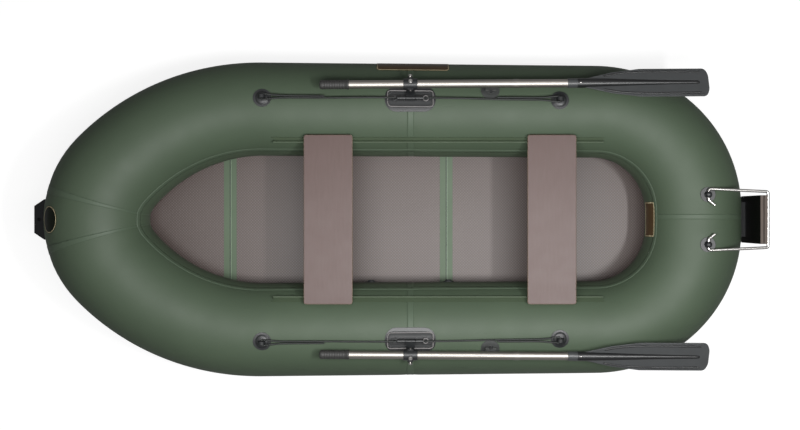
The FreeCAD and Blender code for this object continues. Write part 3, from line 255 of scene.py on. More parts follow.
hull_fabric = coated_fabric("PVC-coated polyester, olive", "435040", "4B5947", 0.56)
tape_fabric = coated_fabric("PVC seam tape, olive", "475544", "4F5D4C", 0.52)
bottom_fabric = coated_fabric("PVC-coated polyester, bottom", "39443A", "424D41", 0.5)
moulded_pvc = coated_fabric("moulded soft PVC, pale olive", "434F3D", "4A5744", 0.52, on="Object")
# The joint strip's groove gets the painted shade below JOINT_GROOVE_Z.
joint_pvc = coated_fabric("extruded PVC joint strip, pale green", "52624E", "5B6C56", 0.52,
                          on="Object", groove_z=JOINT_GROOVE_Z)
# Painted highlight: this bead's pale green stands in for the bright line of light along a floor joint.
highlight_bead_pvc = coated_fabric("extruded PVC bead, painted highlight green", "82977F", "91A68E", 0.4, on="Object")
print("threads drawn", THREAD_MM, "mm apart")

# %% [markdown]
# ## Film-faced plywood for the floor
# The floor boards are plywood with a hot-pressed phenolic film. A wire mesh leaves its print in the
# film on the walking side, so it scatters light in a fine diamond pattern. The real print is about
# 5 mm, which is one pixel here, so it is drawn at 9 mm. A board's cut edge shows its plies, pale birch
# and dark glue in turn, wherever the face looks sideways.

# %% Floor boards' finish
MESH_PRINT_MM = 9.0
PRINT_DEPTH = 0.00018
FILM_SHADE_MM = 180
PLY_MM = 3.0


def ply_colour(tree, film, edge_from):
    """The film's colour on flat faces, and bands of birch where a face leans more than edge_from."""
    facing = add(tree, "SeparateXYZ", {0: add(tree, "TexCoord", out="Normal")}, "Z")
    level = add(tree, "Math", {0: facing}, operation="ABSOLUTE")
    cut = add(tree, "Math", {0: level, 1: math.cos(math.radians(edge_from))}, operation="LESS_THAN")
    place = add(tree, "TexCoord", out="Object")
    plies = add(tree, "TexWave", {"Vector": place, "Scale": wave_scale(PLY_MM)}, "Fac",
                bands_direction="Z", wave_profile="SIN")
    edge = add(tree, "Mix", {0: plies, 1: "4A352C", 2: "9C8A78"}, data_type="RGBA")
    return add(tree, "Mix", {0: cut, 1: film, 2: edge}, data_type="RGBA")


floor_ply, tree = new_material("film-faced plywood, mesh print")
place = add(tree, "TexCoord", out="Object")
turned = add(tree, "Mapping", {"Vector": place, "Rotation": (0, 0, math.radians(45))})
ridges = [add(tree, "TexWave", {"Vector": turned, "Scale": wave_scale(MESH_PRINT_MM)}, "Fac",
              bands_direction=axis, wave_profile="SIN") for axis in ("X", "Y")]
print_height = add(tree, "Math", {0: ridges[0], 1: ridges[1]}, operation="MULTIPLY")
shade = add(tree, "TexNoise", {"Vector": place, "Scale": 1000 / FILM_SHADE_MM, "Detail": 3.0})
film = add(tree, "Mix", {0: shade, 1: "463934", 2: "504440"}, data_type="RGBA")
dots = add(tree, "Mix", {0: print_height, 1: film, 2: "6B605D"}, data_type="RGBA")
rough = add(tree, "MapRange", {"Value": print_height, "To Min": 0.42, "To Max": 0.54})
shader = add(tree, "BsdfPrincipled", {
    "Base Color": ply_colour(tree, dots, edge_from=60), "Roughness": rough,
    "Normal": add(tree, "Bump", {"Height": print_height, "Distance": PRINT_DEPTH})})
add(tree, "OutputMaterial", {"Surface": shader})
print("mesh print", MESH_PRINT_MM, "mm, plies", PLY_MM, "mm")

# %% [markdown]
# ## Smooth plywood for the thwarts
# The thwarts have the smooth film: the same red-brown resin, glossy enough to pick up the soft box and
# look grey under it. The wood's grain still telegraphs through as streaks along the board, so a noise
# is stretched that way. A Bevel node rounds the edges that are sanded on the real board.

# %% Thwarts' finish
THWART_GRAIN_MM = 9
THWART_STRETCH = (1.0, 0.12, 1.0)
THWART_GRAIN_DEPTH = 0.00004
THWART_GLOSS_MM = 60
SANDED_EDGE = 0.0015

seat_ply, tree = new_material("film-faced plywood, smooth")
place = add(tree, "TexCoord", out="Object")
along = add(tree, "Mapping", {"Vector": place, "Scale": THWART_STRETCH})
grain = add(tree, "TexNoise", {"Vector": along, "Scale": 1000 / THWART_GRAIN_MM, "Detail": 4.0})
film = add(tree, "Mix", {0: grain, 1: "56443F", 2: "604D4A"}, data_type="RGBA")
clouds = add(tree, "TexNoise", {"Vector": place, "Scale": 1000 / THWART_GLOSS_MM})
rough = add(tree, "MapRange", {"Value": clouds, "To Min": 0.4, "To Max": 0.48})
round_edge = add(tree, "Bevel", {"Radius": SANDED_EDGE})
shader = add(tree, "BsdfPrincipled", {
    "Base Color": ply_colour(tree, film, edge_from=20),
    "Roughness": rough, "Specular IOR Level": 0.35,
    "Normal": add(tree, "Bump", {"Height": grain, "Distance": THWART_GRAIN_DEPTH,
                                 "Normal": round_edge})})
add(tree, "OutputMaterial", {"Surface": shader})
print("thwart grain", THWART_GRAIN_MM, "mm")

# %% [markdown]
# ## Painted plywood for the transom
# The transom's plate and pad are marine plywood, painted black on their faces. Seen from above, their
# top edge is bare wood with worn brown grain, so the finish looks at which way a face points.

# %% Transom's finish
TRANSOM_GRAIN_MM = 14
TRANSOM_STRETCH = (8.0, 0.3, 1.0)
TRANSOM_GRAIN_DEPTH = 0.0001
PAINTED_FROM = 0.7

transom_ply, tree = new_material("painted marine plywood")
place = add(tree, "TexCoord", out="Object")
layers = add(tree, "Mapping", {"Vector": place, "Scale": TRANSOM_STRETCH})
edge_grain = add(tree, "TexNoise", {"Vector": layers, "Scale": 1000 / TRANSOM_GRAIN_MM, "Detail": 4.0})
facing = add(tree, "SeparateXYZ", {0: add(tree, "TexCoord", out="Normal")}, "X")
fore_and_aft = add(tree, "Math", {0: facing}, operation="ABSOLUTE")
painted = add(tree, "Math", {0: fore_and_aft, 1: PAINTED_FROM}, operation="GREATER_THAN")
edge = add(tree, "Mix", {0: edge_grain, 1: "4A423E", 2: "6E635B"}, data_type="RGBA")
colour = add(tree, "Mix", {0: painted, 1: edge, 2: "060505"}, data_type="RGBA")
round_edge = add(tree, "Bevel", {"Radius": SANDED_EDGE})
shader = add(tree, "BsdfPrincipled", {
    "Base Color": colour, "Roughness": 0.5, "Specular IOR Level": 0.15,
    "Normal": add(tree, "Bump", {"Height": edge_grain, "Distance": TRANSOM_GRAIN_DEPTH,
                                 "Normal": round_edge})})
add(tree, "OutputMaterial", {"Surface": shader})
print("transom grain", TRANSOM_GRAIN_MM, "mm")

# %% [markdown]
# ## Plastics
# Rowlocks, eyes and holders are glass-filled nylon, black or grey and slightly rough from the mould.
# Grips are a softer, duller rubbery plastic. Blades are blow-moulded polypropylene, a warm dark grey
# with a satin skin; their spine and ridges are coloured black as painted shade, for the dark grooves
# beside them. A Bevel node rounds the sharp CAD edges in the shading by the millimetre that a mould
# leaves.

# %% Plastics
MOULD_SHADE_MM = 45


def moulded(name, low, high, roughness, grain_mm, depth_mm, edge_mm=1.0, gloss=0.5):
    material, tree = new_material(name)
    place = add(tree, "TexCoord", out="Object")
    shade = add(tree, "TexNoise", {"Vector": place, "Scale": 1000 / MOULD_SHADE_MM, "Detail": 3.0})
    grain = add(tree, "TexNoise", {"Vector": place, "Scale": 1000 / grain_mm, "Detail": 2.0})
    rough = add(tree, "MapRange", {"Value": grain, "To Min": roughness - 0.06,
                                   "To Max": roughness + 0.06})
    round_edge = add(tree, "Bevel", {"Radius": edge_mm / 1000})
    bump = add(tree, "Bump", {"Height": grain, "Distance": depth_mm / 1000, "Normal": round_edge})
    shader = add(tree, "BsdfPrincipled", {
        "Base Color": add(tree, "Mix", {0: shade, 1: low, 2: high}, data_type="RGBA"),
        "Roughness": rough, "Specular IOR Level": gloss, "Normal": bump})
    add(tree, "OutputMaterial", {"Surface": shader})
    return material


black_nylon = moulded("glass-filled nylon, black", "18191A", "232527", 0.4, 1.2, 0.03)
tow_nylon = moulded("glass-filled nylon, blue black", "060708", "0E1013", 0.45, 1.2, 0.02, gloss=0.15)
rowlock_nylon = moulded("glass-filled nylon, charcoal", "1E2021", "2B2C2D", 0.36, 1.2, 0.03)
holder_nylon = moulded("glass-filled nylon, grey", "363837", "424443", 0.4, 1.2, 0.03)
grip_rubber = moulded("soft PVC grip, black", "282827", "343332", 0.55, 0.9, 0.06)
blade_plastic = moulded("blow-moulded polypropylene, grey", "37393A", "434546", 0.36, 2.0, 0.04)
# Painted shade: this black on the blade's spine and ridges stands in for the dark grooves beside them.
spine_shade_plastic = moulded("blow-moulded polypropylene, black as painted shade", "0F1011", "191A1B", 0.36, 2.0, 0.04)
print("plastics", black_nylon.name, "and", blade_plastic.name)

# %% [markdown]
# ## Metals
# The shafts are drawn aluminium tube, left bright, and the transom rod is polished stainless steel.
# Metals keep the default index, and their look comes from roughness and the room round them. Fine
# lines, left by the die or the belt, are a noise stretched along the piece.

# %% Metals
LINE_MM = 1.5
LINE_DEPTH = 0.00002


def drawn_metal(name, low, high, roughness, stretch):
    """Metal with fine lines left along it by the die or the polishing belt."""
    material, tree = new_material(name)
    place = add(tree, "Mapping", {"Vector": add(tree, "TexCoord", out="Object"), "Scale": stretch})
    lines = add(tree, "TexNoise", {"Vector": place, "Scale": 1000 / LINE_MM, "Detail": 2.0})
    rough = add(tree, "MapRange", {"Value": lines, "To Min": roughness - 0.05,
                                   "To Max": roughness + 0.05})
    shader = add(tree, "BsdfPrincipled", {
        "Base Color": add(tree, "Mix", {0: lines, 1: low, 2: high}, data_type="RGBA"), "Metallic": 1.0,
        "Roughness": rough, "Normal": add(tree, "Bump", {"Height": lines, "Distance": LINE_DEPTH})})
    add(tree, "OutputMaterial", {"Surface": shader})
    return material


bright_aluminium = drawn_metal("drawn aluminium tube", "96918B", "A9A59F", 0.42, (0.05, 1.0, 1.0))
bright_steel = drawn_metal("polished stainless steel", "A9A6A3", "BCBAB7", 0.22, (1.0, 1.0, 1.0))
print("metals", bright_aluminium.name, "and", bright_steel.name)

# %% [markdown]
# ## Rope
# The lifelines are polypropylene rope, black with a slight shine on the crown of each strand. The
# strands are real shapes below, so the finish only adds the fibres, as a fine noise along the object.

# %% Rope finish
FIBRE_MM = 1.6
FIBRE_DEPTH = 0.0003

rope_fibre, tree = new_material("laid polypropylene rope")
place = add(tree, "TexCoord", out="Object")
fibres = add(tree, "TexNoise", {"Vector": place, "Scale": 1000 / FIBRE_MM, "Detail": 2.0})
shader = add(tree, "BsdfPrincipled", {
    "Base Color": add(tree, "Mix", {0: fibres, 1: "0C0E0D", 2: "242826"}, data_type="RGBA"),
    "Roughness": 0.5, "Normal": add(tree, "Bump", {"Height": fibres, "Distance": FIBRE_DEPTH})})
add(tree, "OutputMaterial", {"Surface": shader})
print("fibres", FIBRE_MM, "mm")

# %% [markdown]
# ## Finishes on the carried-over pieces
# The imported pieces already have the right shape, so they only take a finish. The table goes from the
# start of a piece's name to its finish, and each name takes the longest start that fits it.

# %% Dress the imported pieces
FINISHES = {
    "tube_": hull_fabric, "bottom_skin": bottom_fabric, "floor_board_": floor_ply,
    "floor_strip_": joint_pvc, "seat_track_": moulded_pvc, "seat_": seat_ply,
    "seat_runners_": black_nylon, "rowlock_base_": rowlock_nylon, "rowlock_arm_": black_nylon,
    "stud_nut_": bright_steel, "oar_shaft_": bright_aluminium, "oar_grip_": grip_rubber,
    "oar_ferrule_": bright_aluminium, "oar_clamp_": black_nylon, "clamp_bolt_": bright_steel,
    "oar_blade_": blade_plastic, "oar_holder_": holder_nylon, "holder_knob_": black_nylon,
    "rope_eye_": black_nylon, "lifeline_": rope_fibre, "transom_cleat_": black_nylon,
    "transom_frame": bright_steel, "transom_plate": transom_ply, "transom_pad": transom_ply,
    "transom_rest": black_nylon, "tow_eye": tow_nylon, "valve_": black_nylon,
}
for name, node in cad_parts.items():
    start = max((key for key in FINISHES if name.startswith(key)), key=len)
    if not node.material_slots:
        node.data.materials.append(FINISHES[start])
    for slot in node.material_slots:
        slot.material = FINISHES[start]
print("dressed", len(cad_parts), "nodes")

# %% [markdown]
# ## The hull's plan
# The tube's middle line is made of tangent arcs: a tight nose, a long bow curve, a nearly straight
# side, a round stern corner and a short flat. Each stretch needs only its centre and radius. The tube
# swells a little towards both ends, and its middle lifts, which gives the boat its sheer.

# %% Plan and size of the tube
NOSE_X, STERN_X = -1.278, 1.297
NOSE_CENTRE_X, NOSE_CURVE = -0.978, 0.300
BOW_TURN = math.radians(48)
SIDE_START, SIDE_END = -0.57596, 0.867
BOW_CENTRE_Y, BOW_CURVE = -0.362, 0.841
STERN_FLAT, STERN_CURVE = 0.038, 0.430
SIDE_HALF_FORE, SIDE_HALF_AFT = 0.479, 0.468
RADIUS_FORE, RADIUS_AFT = 0.202, 0.199
NOSE_SWELL, STERN_SWELL = 0.020, 0.004
NOSE_LIFT, STERN_LIFT = 0.020, 0.010
SWELL_POWER, LIFT_POWER = 1.5, 2


def end_shares(x):
    """How far x is from the straight side towards the nose and towards the stern, from 0 to 1."""
    to_nose, to_stern = (SIDE_START - x) / (SIDE_START - NOSE_X), (x - SIDE_END) / (STERN_X - SIDE_END)
    return max(0.0, to_nose), max(0.0, to_stern)


def tube_radius(x):
    fore, aft = end_shares(x)
    share = min(1.0, max(0.0, (x - SIDE_START) / (SIDE_END - SIDE_START)))
    side = RADIUS_FORE + (RADIUS_AFT - RADIUS_FORE) * share
    return side + NOSE_SWELL * fore ** SWELL_POWER + STERN_SWELL * aft ** SWELL_POWER


def tube_height(x):
    fore, aft = end_shares(x)
    return tube_radius(x) + NOSE_LIFT * fore ** LIFT_POWER + STERN_LIFT * aft ** LIFT_POWER


def side_half(x):
    return SIDE_HALF_FORE + (SIDE_HALF_AFT - SIDE_HALF_FORE) * (x - SIDE_START) / (SIDE_END - SIDE_START)


print("tube", [round(2 * tube_radius(x), 3) for x in (NOSE_X, 0, STERN_X)], "m thick")

# %% [markdown]
# ## Stations round the hull
# To be swept, that line has to be points with a heading, a couple of centimetres apart, and at each a
# frame that stands across the tube. The starboard half is worked out, and mirrored for the port half.

# %% Stations and their frames
STATION_STEP = 0.02


def even(start, end, step):
    """Even steps from start up to, but not counting, end."""
    count = max(1, math.ceil(abs(end - start) / step))
    return [start + (end - start) * index / count for index in range(count)]


def starboard_line(step):
    """Points (x, y, heading) along the starboard middle line, nose to stern."""
    line = []
    for angle in even(math.pi / 2, BOW_TURN, step / NOSE_CURVE):
        line.append((NOSE_CENTRE_X - NOSE_CURVE * math.sin(angle), NOSE_CURVE * math.cos(angle), angle))
    for angle in even(BOW_TURN, 0, step / BOW_CURVE):
        line.append((SIDE_START - BOW_CURVE * math.sin(angle),
                     BOW_CENTRE_Y + BOW_CURVE * math.cos(angle), angle))
    for x in even(SIDE_START, SIDE_END, step):
        line.append((x, side_half(x), 0.0))
    for angle in even(0, math.pi / 2, step / STERN_CURVE):
        line.append((SIDE_END + STERN_CURVE * math.sin(angle),
                     STERN_FLAT + STERN_CURVE * math.cos(angle), -angle))
    return line + [(STERN_X, STERN_FLAT, -math.pi / 2), (STERN_X, 0.0, -math.pi / 2)]


def section_frame(x, y, heading, radius):
    """A frame whose z runs along the tube, x up and y inboard, scaled to the radius."""
    along, up = Vector((math.cos(heading), math.sin(heading), 0)), Vector((0, 0, 1))
    axes = Matrix((up, along.cross(up), along)).transposed().to_4x4()
    scale = Matrix.Diagonal((radius, radius, radius, 1))
    return Matrix.Translation((x, y, tube_height(x))) @ axes @ scale


half_line = starboard_line(STATION_STEP)
hull_line = half_line + [(x, -y, math.pi - heading) for x, y, heading in reversed(half_line[1:-1])]
print("stations round the hull", len(hull_line))

# %% [markdown]
# ## Swept pieces
# The tube, its tapes, the ropes and the ribs are all made the same way: a ring or a line of vertices is
# extruded from frame to frame. While it is extruded, each vertex keeps how far along and round it is,
# for the cloth's UV map. Every new piece then goes on the body that carries it.

# %% Making and sweeping a piece
MEAN_RADIUS = 0.2
SHARP_FROM = math.radians(40)


def new_piece(name, form, material, body, replaced=(), closed=True):
    """Makes an object from a bmesh on a body; a closed form has its faces turned outward."""
    if closed:
        bmesh.ops.recalc_face_normals(form, faces=form.faces)
    mesh = bpy.data.meshes.new(name)
    form.to_mesh(mesh)
    form.free()
    mesh.materials.append(material)
    mesh.shade_smooth()
    mesh.set_sharp_from_angle(angle=SHARP_FROM)
    piece = bpy.data.objects.new(name, mesh)
    bpy.context.scene.collection.objects.link(piece)
    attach(piece, body)
    if replaced:
        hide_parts(*replaced)
    return piece


def sweep(form, edges, frames):
    """Extrudes edges from frame to frame, keeps each vertex's length along; returns the last edges."""
    along = form.verts.layers.float.get("along") or form.verts.layers.float.new("along")
    length = 0.0
    for before, after in zip(frames, frames[1:]):
        made = bmesh.ops.extrude_edge_only(form, edges=edges)["geom"]
        edges = [item for item in made if isinstance(item, bmesh.types.BMEdge)]
        moved = [item for item in made if isinstance(item, bmesh.types.BMVert)]
        bmesh.ops.transform(form, matrix=after @ before.inverted(), verts=moved)
        length += (after.translation - before.translation).length
        for vert in moved:
            vert[along] = length
    return edges


def lay_cloth(form, length):
    """A UV map in metres, along and round the tube; a face that closes a ring goes on past its end."""
    along, lean = form.verts.layers.float["along"], form.verts.layers.float["lean"]
    layer = form.loops.layers.uv.new("cloth")
    girth = 2 * math.pi * MEAN_RADIUS
    for face in form.faces:
        far_u = max(vert[along] for vert in face.verts)
        far_v = max(vert[lean] for vert in face.verts) * MEAN_RADIUS
        for loop in face.loops:
            u, v = loop.vert[along], loop.vert[lean] * MEAN_RADIUS
            loop[layer].uv = (u + length * (far_u - u > length / 2), v + girth * (far_v - v > girth / 2))


print("cloth laid on a tube of", MEAN_RADIUS, "m")

# %% [markdown]
# ## The air tube
# A ring of vertices at the nose is extruded from station to station right round the boat and joined to
# itself, as the fabric panels are wrapped round the air. Along each glued seam the cloth is pulled in
# by a couple of millimetres, because the tape doubles its thickness and it stretches less there.

# %% Air tube
SIDE_SEAM_X = 0.071
NOSE_SEAM_Y = 0.078
STERN_SEAM_Y = 0.012
SEAM_SINK, SEAM_REACH = 0.0022, 0.022
RING_POINTS = 96


def pulled_in(x, y):
    """How far the skin sinks at a glued seam."""
    gaps = [x - SIDE_SEAM_X]
    gaps += [abs(y) - NOSE_SEAM_Y] if x < SIDE_START else []
    gaps += [y - STERN_SEAM_Y] if x > SIDE_END else []
    return sum(SEAM_SINK * math.exp(-(gap / SEAM_REACH) ** 2) for gap in gaps)


form = bmesh.new()
frames = [section_frame(x, y, heading, tube_radius(x) - pulled_in(x, y))
          for x, y, heading in hull_line]
lean = form.verts.layers.float.new("lean")
ring = bmesh.ops.create_circle(form, cap_ends=False, segments=RING_POINTS, radius=1.0)["verts"]
for vert in ring:
    vert[lean] = math.atan2(vert.co.y, vert.co.x)
bmesh.ops.transform(form, matrix=frames[0], verts=ring)
first = form.edges[:]
last = sweep(form, first, frames)
bmesh.ops.bridge_loops(form, edges=first + last)
way_round = sum((after.translation - before.translation).length
                for before, after in zip(frames, frames[1:] + frames[:1]))
lay_cloth(form, way_round)
open_edges = sum(edge.is_boundary for edge in form.edges)
hull_tube = new_piece("hull_tube", form, hull_fabric, "hull", ("tube_fore", "tube_aft"))
print("hull tube", len(hull_tube.data.polygons), "faces,", round(way_round, 2), "m round")
print("open edges", open_edges)

# %% [markdown]
# ## Tape
# Each joint between two tube panels is covered by a tape of the same cloth, glued on outside. A tape
# starts as one vertex that is spun to an arc and then extruded through the frames that it covers.
# Solidify gives it the cloth's thickness, outward.

# %% Tape
CLOTH_MM = 0.9
LIFT_MM = 0.3


def thicken(piece, offset):
    """Gives a sheet the cloth's thickness: outward where offset is 1, both ways where it is 0."""
    modifier = piece.modifiers.new("cloth", "SOLIDIFY")
    modifier.thickness = CLOTH_MM / 1000
    modifier.offset = offset


def tape(name, frames, start_deg=0.0, turn_deg=360.0, steps=RING_POINTS, closed=False):
    form = bmesh.new()
    lean = form.verts.layers.float.new("lean")
    start = math.radians(start_deg)
    bmesh.ops.create_vert(form, co=(math.cos(start), math.sin(start), 0))
    bmesh.ops.spin(form, geom=form.verts[:], cent=(0, 0, 0), axis=(0, 0, 1), dvec=(0, 0, 0),
                   angle=math.radians(turn_deg), steps=steps, use_merge=False)
    bmesh.ops.remove_doubles(form, verts=form.verts, dist=1e-5)
    for vert in form.verts:
        vert[lean] = math.atan2(vert.co.y, vert.co.x)
    bmesh.ops.transform(form, matrix=frames[0], verts=form.verts)
    first = form.edges[:]
    last = sweep(form, first, frames)
    if closed:
        bmesh.ops.bridge_loops(form, edges=first + last)
    lay_cloth(form, way_round)
    form.faces.ensure_lookup_table()
    form.normal_update()
    if form.faces[0].normal.dot(form.faces[0].calc_center_median() - frames[0].translation) < 0:
        bmesh.ops.reverse_faces(form, faces=form.faces)
    strip = new_piece(name, form, tape_fabric, "hull", closed=False)
    thicken(strip, offset=1)


def tape_frame(x, y, heading):
    """A section that lies on the skin, sunk with it at the seams."""
    return section_frame(x, y, heading, tube_radius(x) - pulled_in(x, y) + LIFT_MM / 1000)


print("tape", CLOTH_MM, "mm thick")

# %% [markdown]
# ## Seam tapes
# A ring tape is a short band through a few sections round its seam. Long tapes run all round the boat:
# one on the inner wall above the floor, and one each side of the bottom cloth, low down.

# %% Seam tapes
SIDES = (("starboard", 1), ("port", -1))
SIDE_TAPE_HALF = 0.0145
NOSE_TAPE_TURN = 0.0175
STERN_TAPE_STEP = 0.0055
LONG_TAPES = (("inner_wall_tape", 61, 6), ("bottom_tape_inner", 142, 8), ("bottom_tape_outer", -162, 8))

for name, side in SIDES:
    spots = [SIDE_SEAM_X + SIDE_TAPE_HALF * step for step in (-1, -0.5, 0, 0.5, 1)]
    tape(f"side_seam_tape_{name}", [tape_frame(x, side * side_half(x), 0.0) for x in spots])
    middle = math.acos(side * NOSE_SEAM_Y / NOSE_CURVE)
    turns = [middle + step * NOSE_TAPE_TURN for step in (2, 1, 0, -1, -2)]
    tape(f"nose_seam_tape_{name}", [tape_frame(NOSE_CENTRE_X - NOSE_CURVE * math.sin(turn),
                                               NOSE_CURVE * math.cos(turn), turn) for turn in turns])
spots = [STERN_SEAM_Y + STERN_TAPE_STEP * step for step in (2, 1, 0, -1, -2)]
tape("stern_seam_tape", [tape_frame(STERN_X, y, -math.pi / 2) for y in spots])

rings = [tape_frame(x, y, heading) for x, y, heading in hull_line]
for name, start, turn in LONG_TAPES:
    tape(name, rings, start, turn, steps=4, closed=True)

# %% [markdown]
# ## The bottom cloth
# The bottom is one sheet of the same cloth, stretched between the tubes and glued to their undersides.
# The outline is where the tubes pass through its level. Cuts along a grid give it enough points to
# sag by a millimetre or so between the boards and the ground, as the real one does out of the water.

# %% Bottom cloth
BOTTOM_Z = 0.0275
GRID_STEP = 0.04
GLUED_MM = 4
SAG, SAG_PER_METRE = 0.001, 7


def cut(form, spot, normal, clear_outer=False):
    """Cuts the whole form by a plane through spot, and returns the edges that lie in it."""
    made = bmesh.ops.bisect_plane(form, geom=form.verts[:] + form.edges[:] + form.faces[:], dist=1e-6,
                                  plane_co=spot, plane_no=normal, clear_outer=clear_outer)
    return [item for item in made["geom_cut"] if isinstance(item, bmesh.types.BMEdge)]


form = bmesh.new()
for x, y, heading in hull_line:
    radius, middle = tube_radius(x), tube_height(x)
    reach = math.sqrt(radius ** 2 - (middle - BOTTOM_Z) ** 2) - GLUED_MM / 1000
    inboard = Vector((math.sin(heading), -math.cos(heading), 0))
    bmesh.ops.create_vert(form, co=Vector((x, y, BOTTOM_Z)) + inboard * reach)
form.verts.ensure_lookup_table()
outline = [form.edges.new(pair) for pair in zip(form.verts[:], form.verts[1:] + form.verts[:1])]
bmesh.ops.contextual_create(form, geom=outline)
low, high = (Vector([extreme(vert.co[axis] for vert in form.verts) for axis in range(3)])
             for extreme in (min, max))
for axis in (0, 1):
    normal = Vector([float(index == axis) for index in range(3)])
    for spot in even(low[axis], high[axis], GRID_STEP)[1:]:
        cut(form, normal * spot, normal)
cloth_area = sum(face.calc_area() for face in form.faces)
uv = form.loops.layers.uv.new("cloth")
for face in form.faces:
    for loop in face.loops:
        loop[uv].uv = loop.vert.co.xy
for vert in form.verts:
    if not vert.is_boundary:
        vert.co.z += SAG * noise.noise(vert.co * SAG_PER_METRE)
form.normal_update()
bmesh.ops.reverse_faces(form, faces=[face for face in form.faces if face.normal.z > 0])
bottom_cloth = new_piece("bottom_cloth", form, bottom_fabric, "hull", ("bottom_skin",),
                         closed=False)
thicken(bottom_cloth, offset=0)

# %% [markdown]
# ## Places for the labels
# The boat has a round badge on its nose, a long label on its starboard flank and a small one on the
# stern's inner wall. All three are thin printed patches of vinyl with a pale border. Three functions
# turn a point of a flat patch into its place on the skin, each round its own stretch of the tube.

# %% Label vinyl and places
VINYL_SHADE_MM = 30
SIDE_LABEL_X, SIDE_LABEL_LEAN = 0.082, math.radians(67.5)
NOSE_BADGE_LEAN = math.radians(47)
STERN_LABEL_LEAN = math.radians(77.5)


def label_vinyl(name, low, high):
    material, tree = new_material(name)
    place = add(tree, "TexCoord", out="Object")
    shade = add(tree, "TexNoise", {"Vector": place, "Scale": 1000 / VINYL_SHADE_MM, "Detail": 4.0})
    shader = add(tree, "BsdfPrincipled", {
        "Base Color": add(tree, "Mix", {0: shade, 1: low, 2: high}, data_type="RGBA"),
        "Roughness": add(tree, "MapRange", {"Value": shade, "To Min": 0.3, "To Max": 0.42}),
        "Specular IOR Level": 0.06})
    add(tree, "OutputMaterial", {"Surface": shader})
    return material


brown_vinyl = label_vinyl("printed vinyl, brown", "4A3826", "5E4C36")
dark_vinyl = label_vinyl("printed vinyl, black green", "11160F", "1A2016")
gold_vinyl = label_vinyl("printed vinyl border, pale gold", "B8AB88", "CCC1A0")


def on_side(u, v, w):
    """A place on the starboard flank: u runs aft, v down, w out of the skin."""
    x = SIDE_LABEL_X + u
    radius, lean = tube_radius(x) + w, SIDE_LABEL_LEAN + v / tube_radius(x)
    return Vector((x, side_half(x) + radius * math.sin(lean), tube_height(x) + radius * math.cos(lean)))


def on_nose(u, v, w):
    """A place round the nose: u runs to starboard, v down, w out of the skin."""
    lean = NOSE_BADGE_LEAN + v / tube_radius(NOSE_X)
    turn = u / (NOSE_CURVE + tube_radius(NOSE_X) * math.sin(lean))
    x, y = NOSE_CENTRE_X - NOSE_CURVE * math.cos(turn), NOSE_CURVE * math.sin(turn)
    reach = (tube_radius(x) + w) * math.sin(lean)
    return Vector((x - reach * math.cos(turn), y + reach * math.sin(turn),
                   tube_height(x) + (tube_radius(x) + w) * math.cos(lean)))


def on_stern_inside(u, v, w):
    """A place on the stern's inner wall: u runs to starboard, v down, w out of the skin."""
    lean = STERN_LABEL_LEAN + v / tube_radius(STERN_X)
    turn = max(0.0, abs(u) - STERN_FLAT) / (STERN_CURVE - tube_radius(STERN_X) * math.sin(lean))
    x = SIDE_END + STERN_CURVE * math.cos(turn)
    radius = tube_radius(x) + w
    reach = STERN_CURVE - radius * math.sin(lean)
    y = math.copysign(min(abs(u), STERN_FLAT) + reach * math.sin(turn), u)
    return Vector((SIDE_END + reach * math.cos(turn), y, tube_height(x) + radius * math.cos(lean)))


print("labels lean", [round(math.degrees(lean), 1) for lean in
                      (SIDE_LABEL_LEAN, NOSE_BADGE_LEAN, STERN_LABEL_LEAN)], "degrees from the crest")

# %% [markdown]
# ## Labels, left blank
# Each label is one square face, rounded by a bevel of its corners, cut into strips so that it can bend,
# given its thickness by an extrusion and then wrapped on the tube. Its border is the rim of such a
# face, kept by an inset, on top of it. Nothing is printed on them.

# %% Blank labels
LABEL_STRIP = 0.008
PATCH_BOTTOM, PATCH_TOP, BORDER_TOP = 0.0003, 0.0010, 0.0014
BORDER_SET_IN, BORDER_WIDTH = 0.002, 0.0036
LABELS = (("side_label", on_side, 0.310, 0.110, 0.016, brown_vinyl),
          ("nose_badge", on_nose, 0.116, 0.116, 0.0575, dark_vinyl),
          ("stern_label", on_stern_inside, 0.150, 0.088, 0.003, brown_vinyl))


def wrapped_plate(name, place, width, height, corner, bottom, top, material, border=0.0):
    """A rounded plate, or only its border, wrapped on the hull."""
    form = bmesh.new()
    size = Matrix.Diagonal((width / 2, height / 2, 1, 1))
    bmesh.ops.create_grid(form, x_segments=1, y_segments=1, size=1.0, matrix=size)
    bmesh.ops.bevel(form, geom=form.verts[:], offset=corner, segments=8, profile=0.5,
                    affect="VERTICES", material=-1)
    if border:
        kept = set(bmesh.ops.inset_region(form, faces=form.faces[:], thickness=border,
                                          use_even_offset=True, use_boundary=True)["faces"])
        bmesh.ops.delete(form, geom=[face for face in form.faces if face not in kept], context="FACES")
    for length, axis in ((width, Vector((1, 0, 0))), (height, Vector((0, 1, 0)))):
        for spot in even(-length / 2, length / 2, LABEL_STRIP)[1:]:
            cut(form, axis * spot, axis)
    made = bmesh.ops.extrude_face_region(form, geom=form.faces[:], use_keep_orig=True)["geom"]
    upper = {item for item in made if isinstance(item, bmesh.types.BMVert)}
    for vert in form.verts:
        vert.co = place(vert.co.x, vert.co.y, top if vert in upper else bottom)
    return new_piece(name, form, material, "hull")


for name, place, width, height, corner, vinyl in LABELS:
    wrapped_plate(name, place, width, height, corner, PATCH_BOTTOM, PATCH_TOP, vinyl)
    wrapped_plate(name + "_border", place, width - 2 * BORDER_SET_IN, height - 2 * BORDER_SET_IN,
                  corner - BORDER_SET_IN, PATCH_TOP, BORDER_TOP, gold_vinyl, border=BORDER_WIDTH)
print("labels", [name for name, *_ in LABELS])

# %% [markdown]
# ## Smooth routes
# A rope, a rib and a rounded lip all follow a smooth route of a few points. Ropes and lips lie on the
# skin a little outboard of the crest, on the line of the rowlocks. A curve object turns the points into
# a spline, which is read back as evenly spread points and then removed.

# %% Routes on the skin
ROWLOCK_LEAN = math.radians(8.3)
SPLINE_STEPS = 24


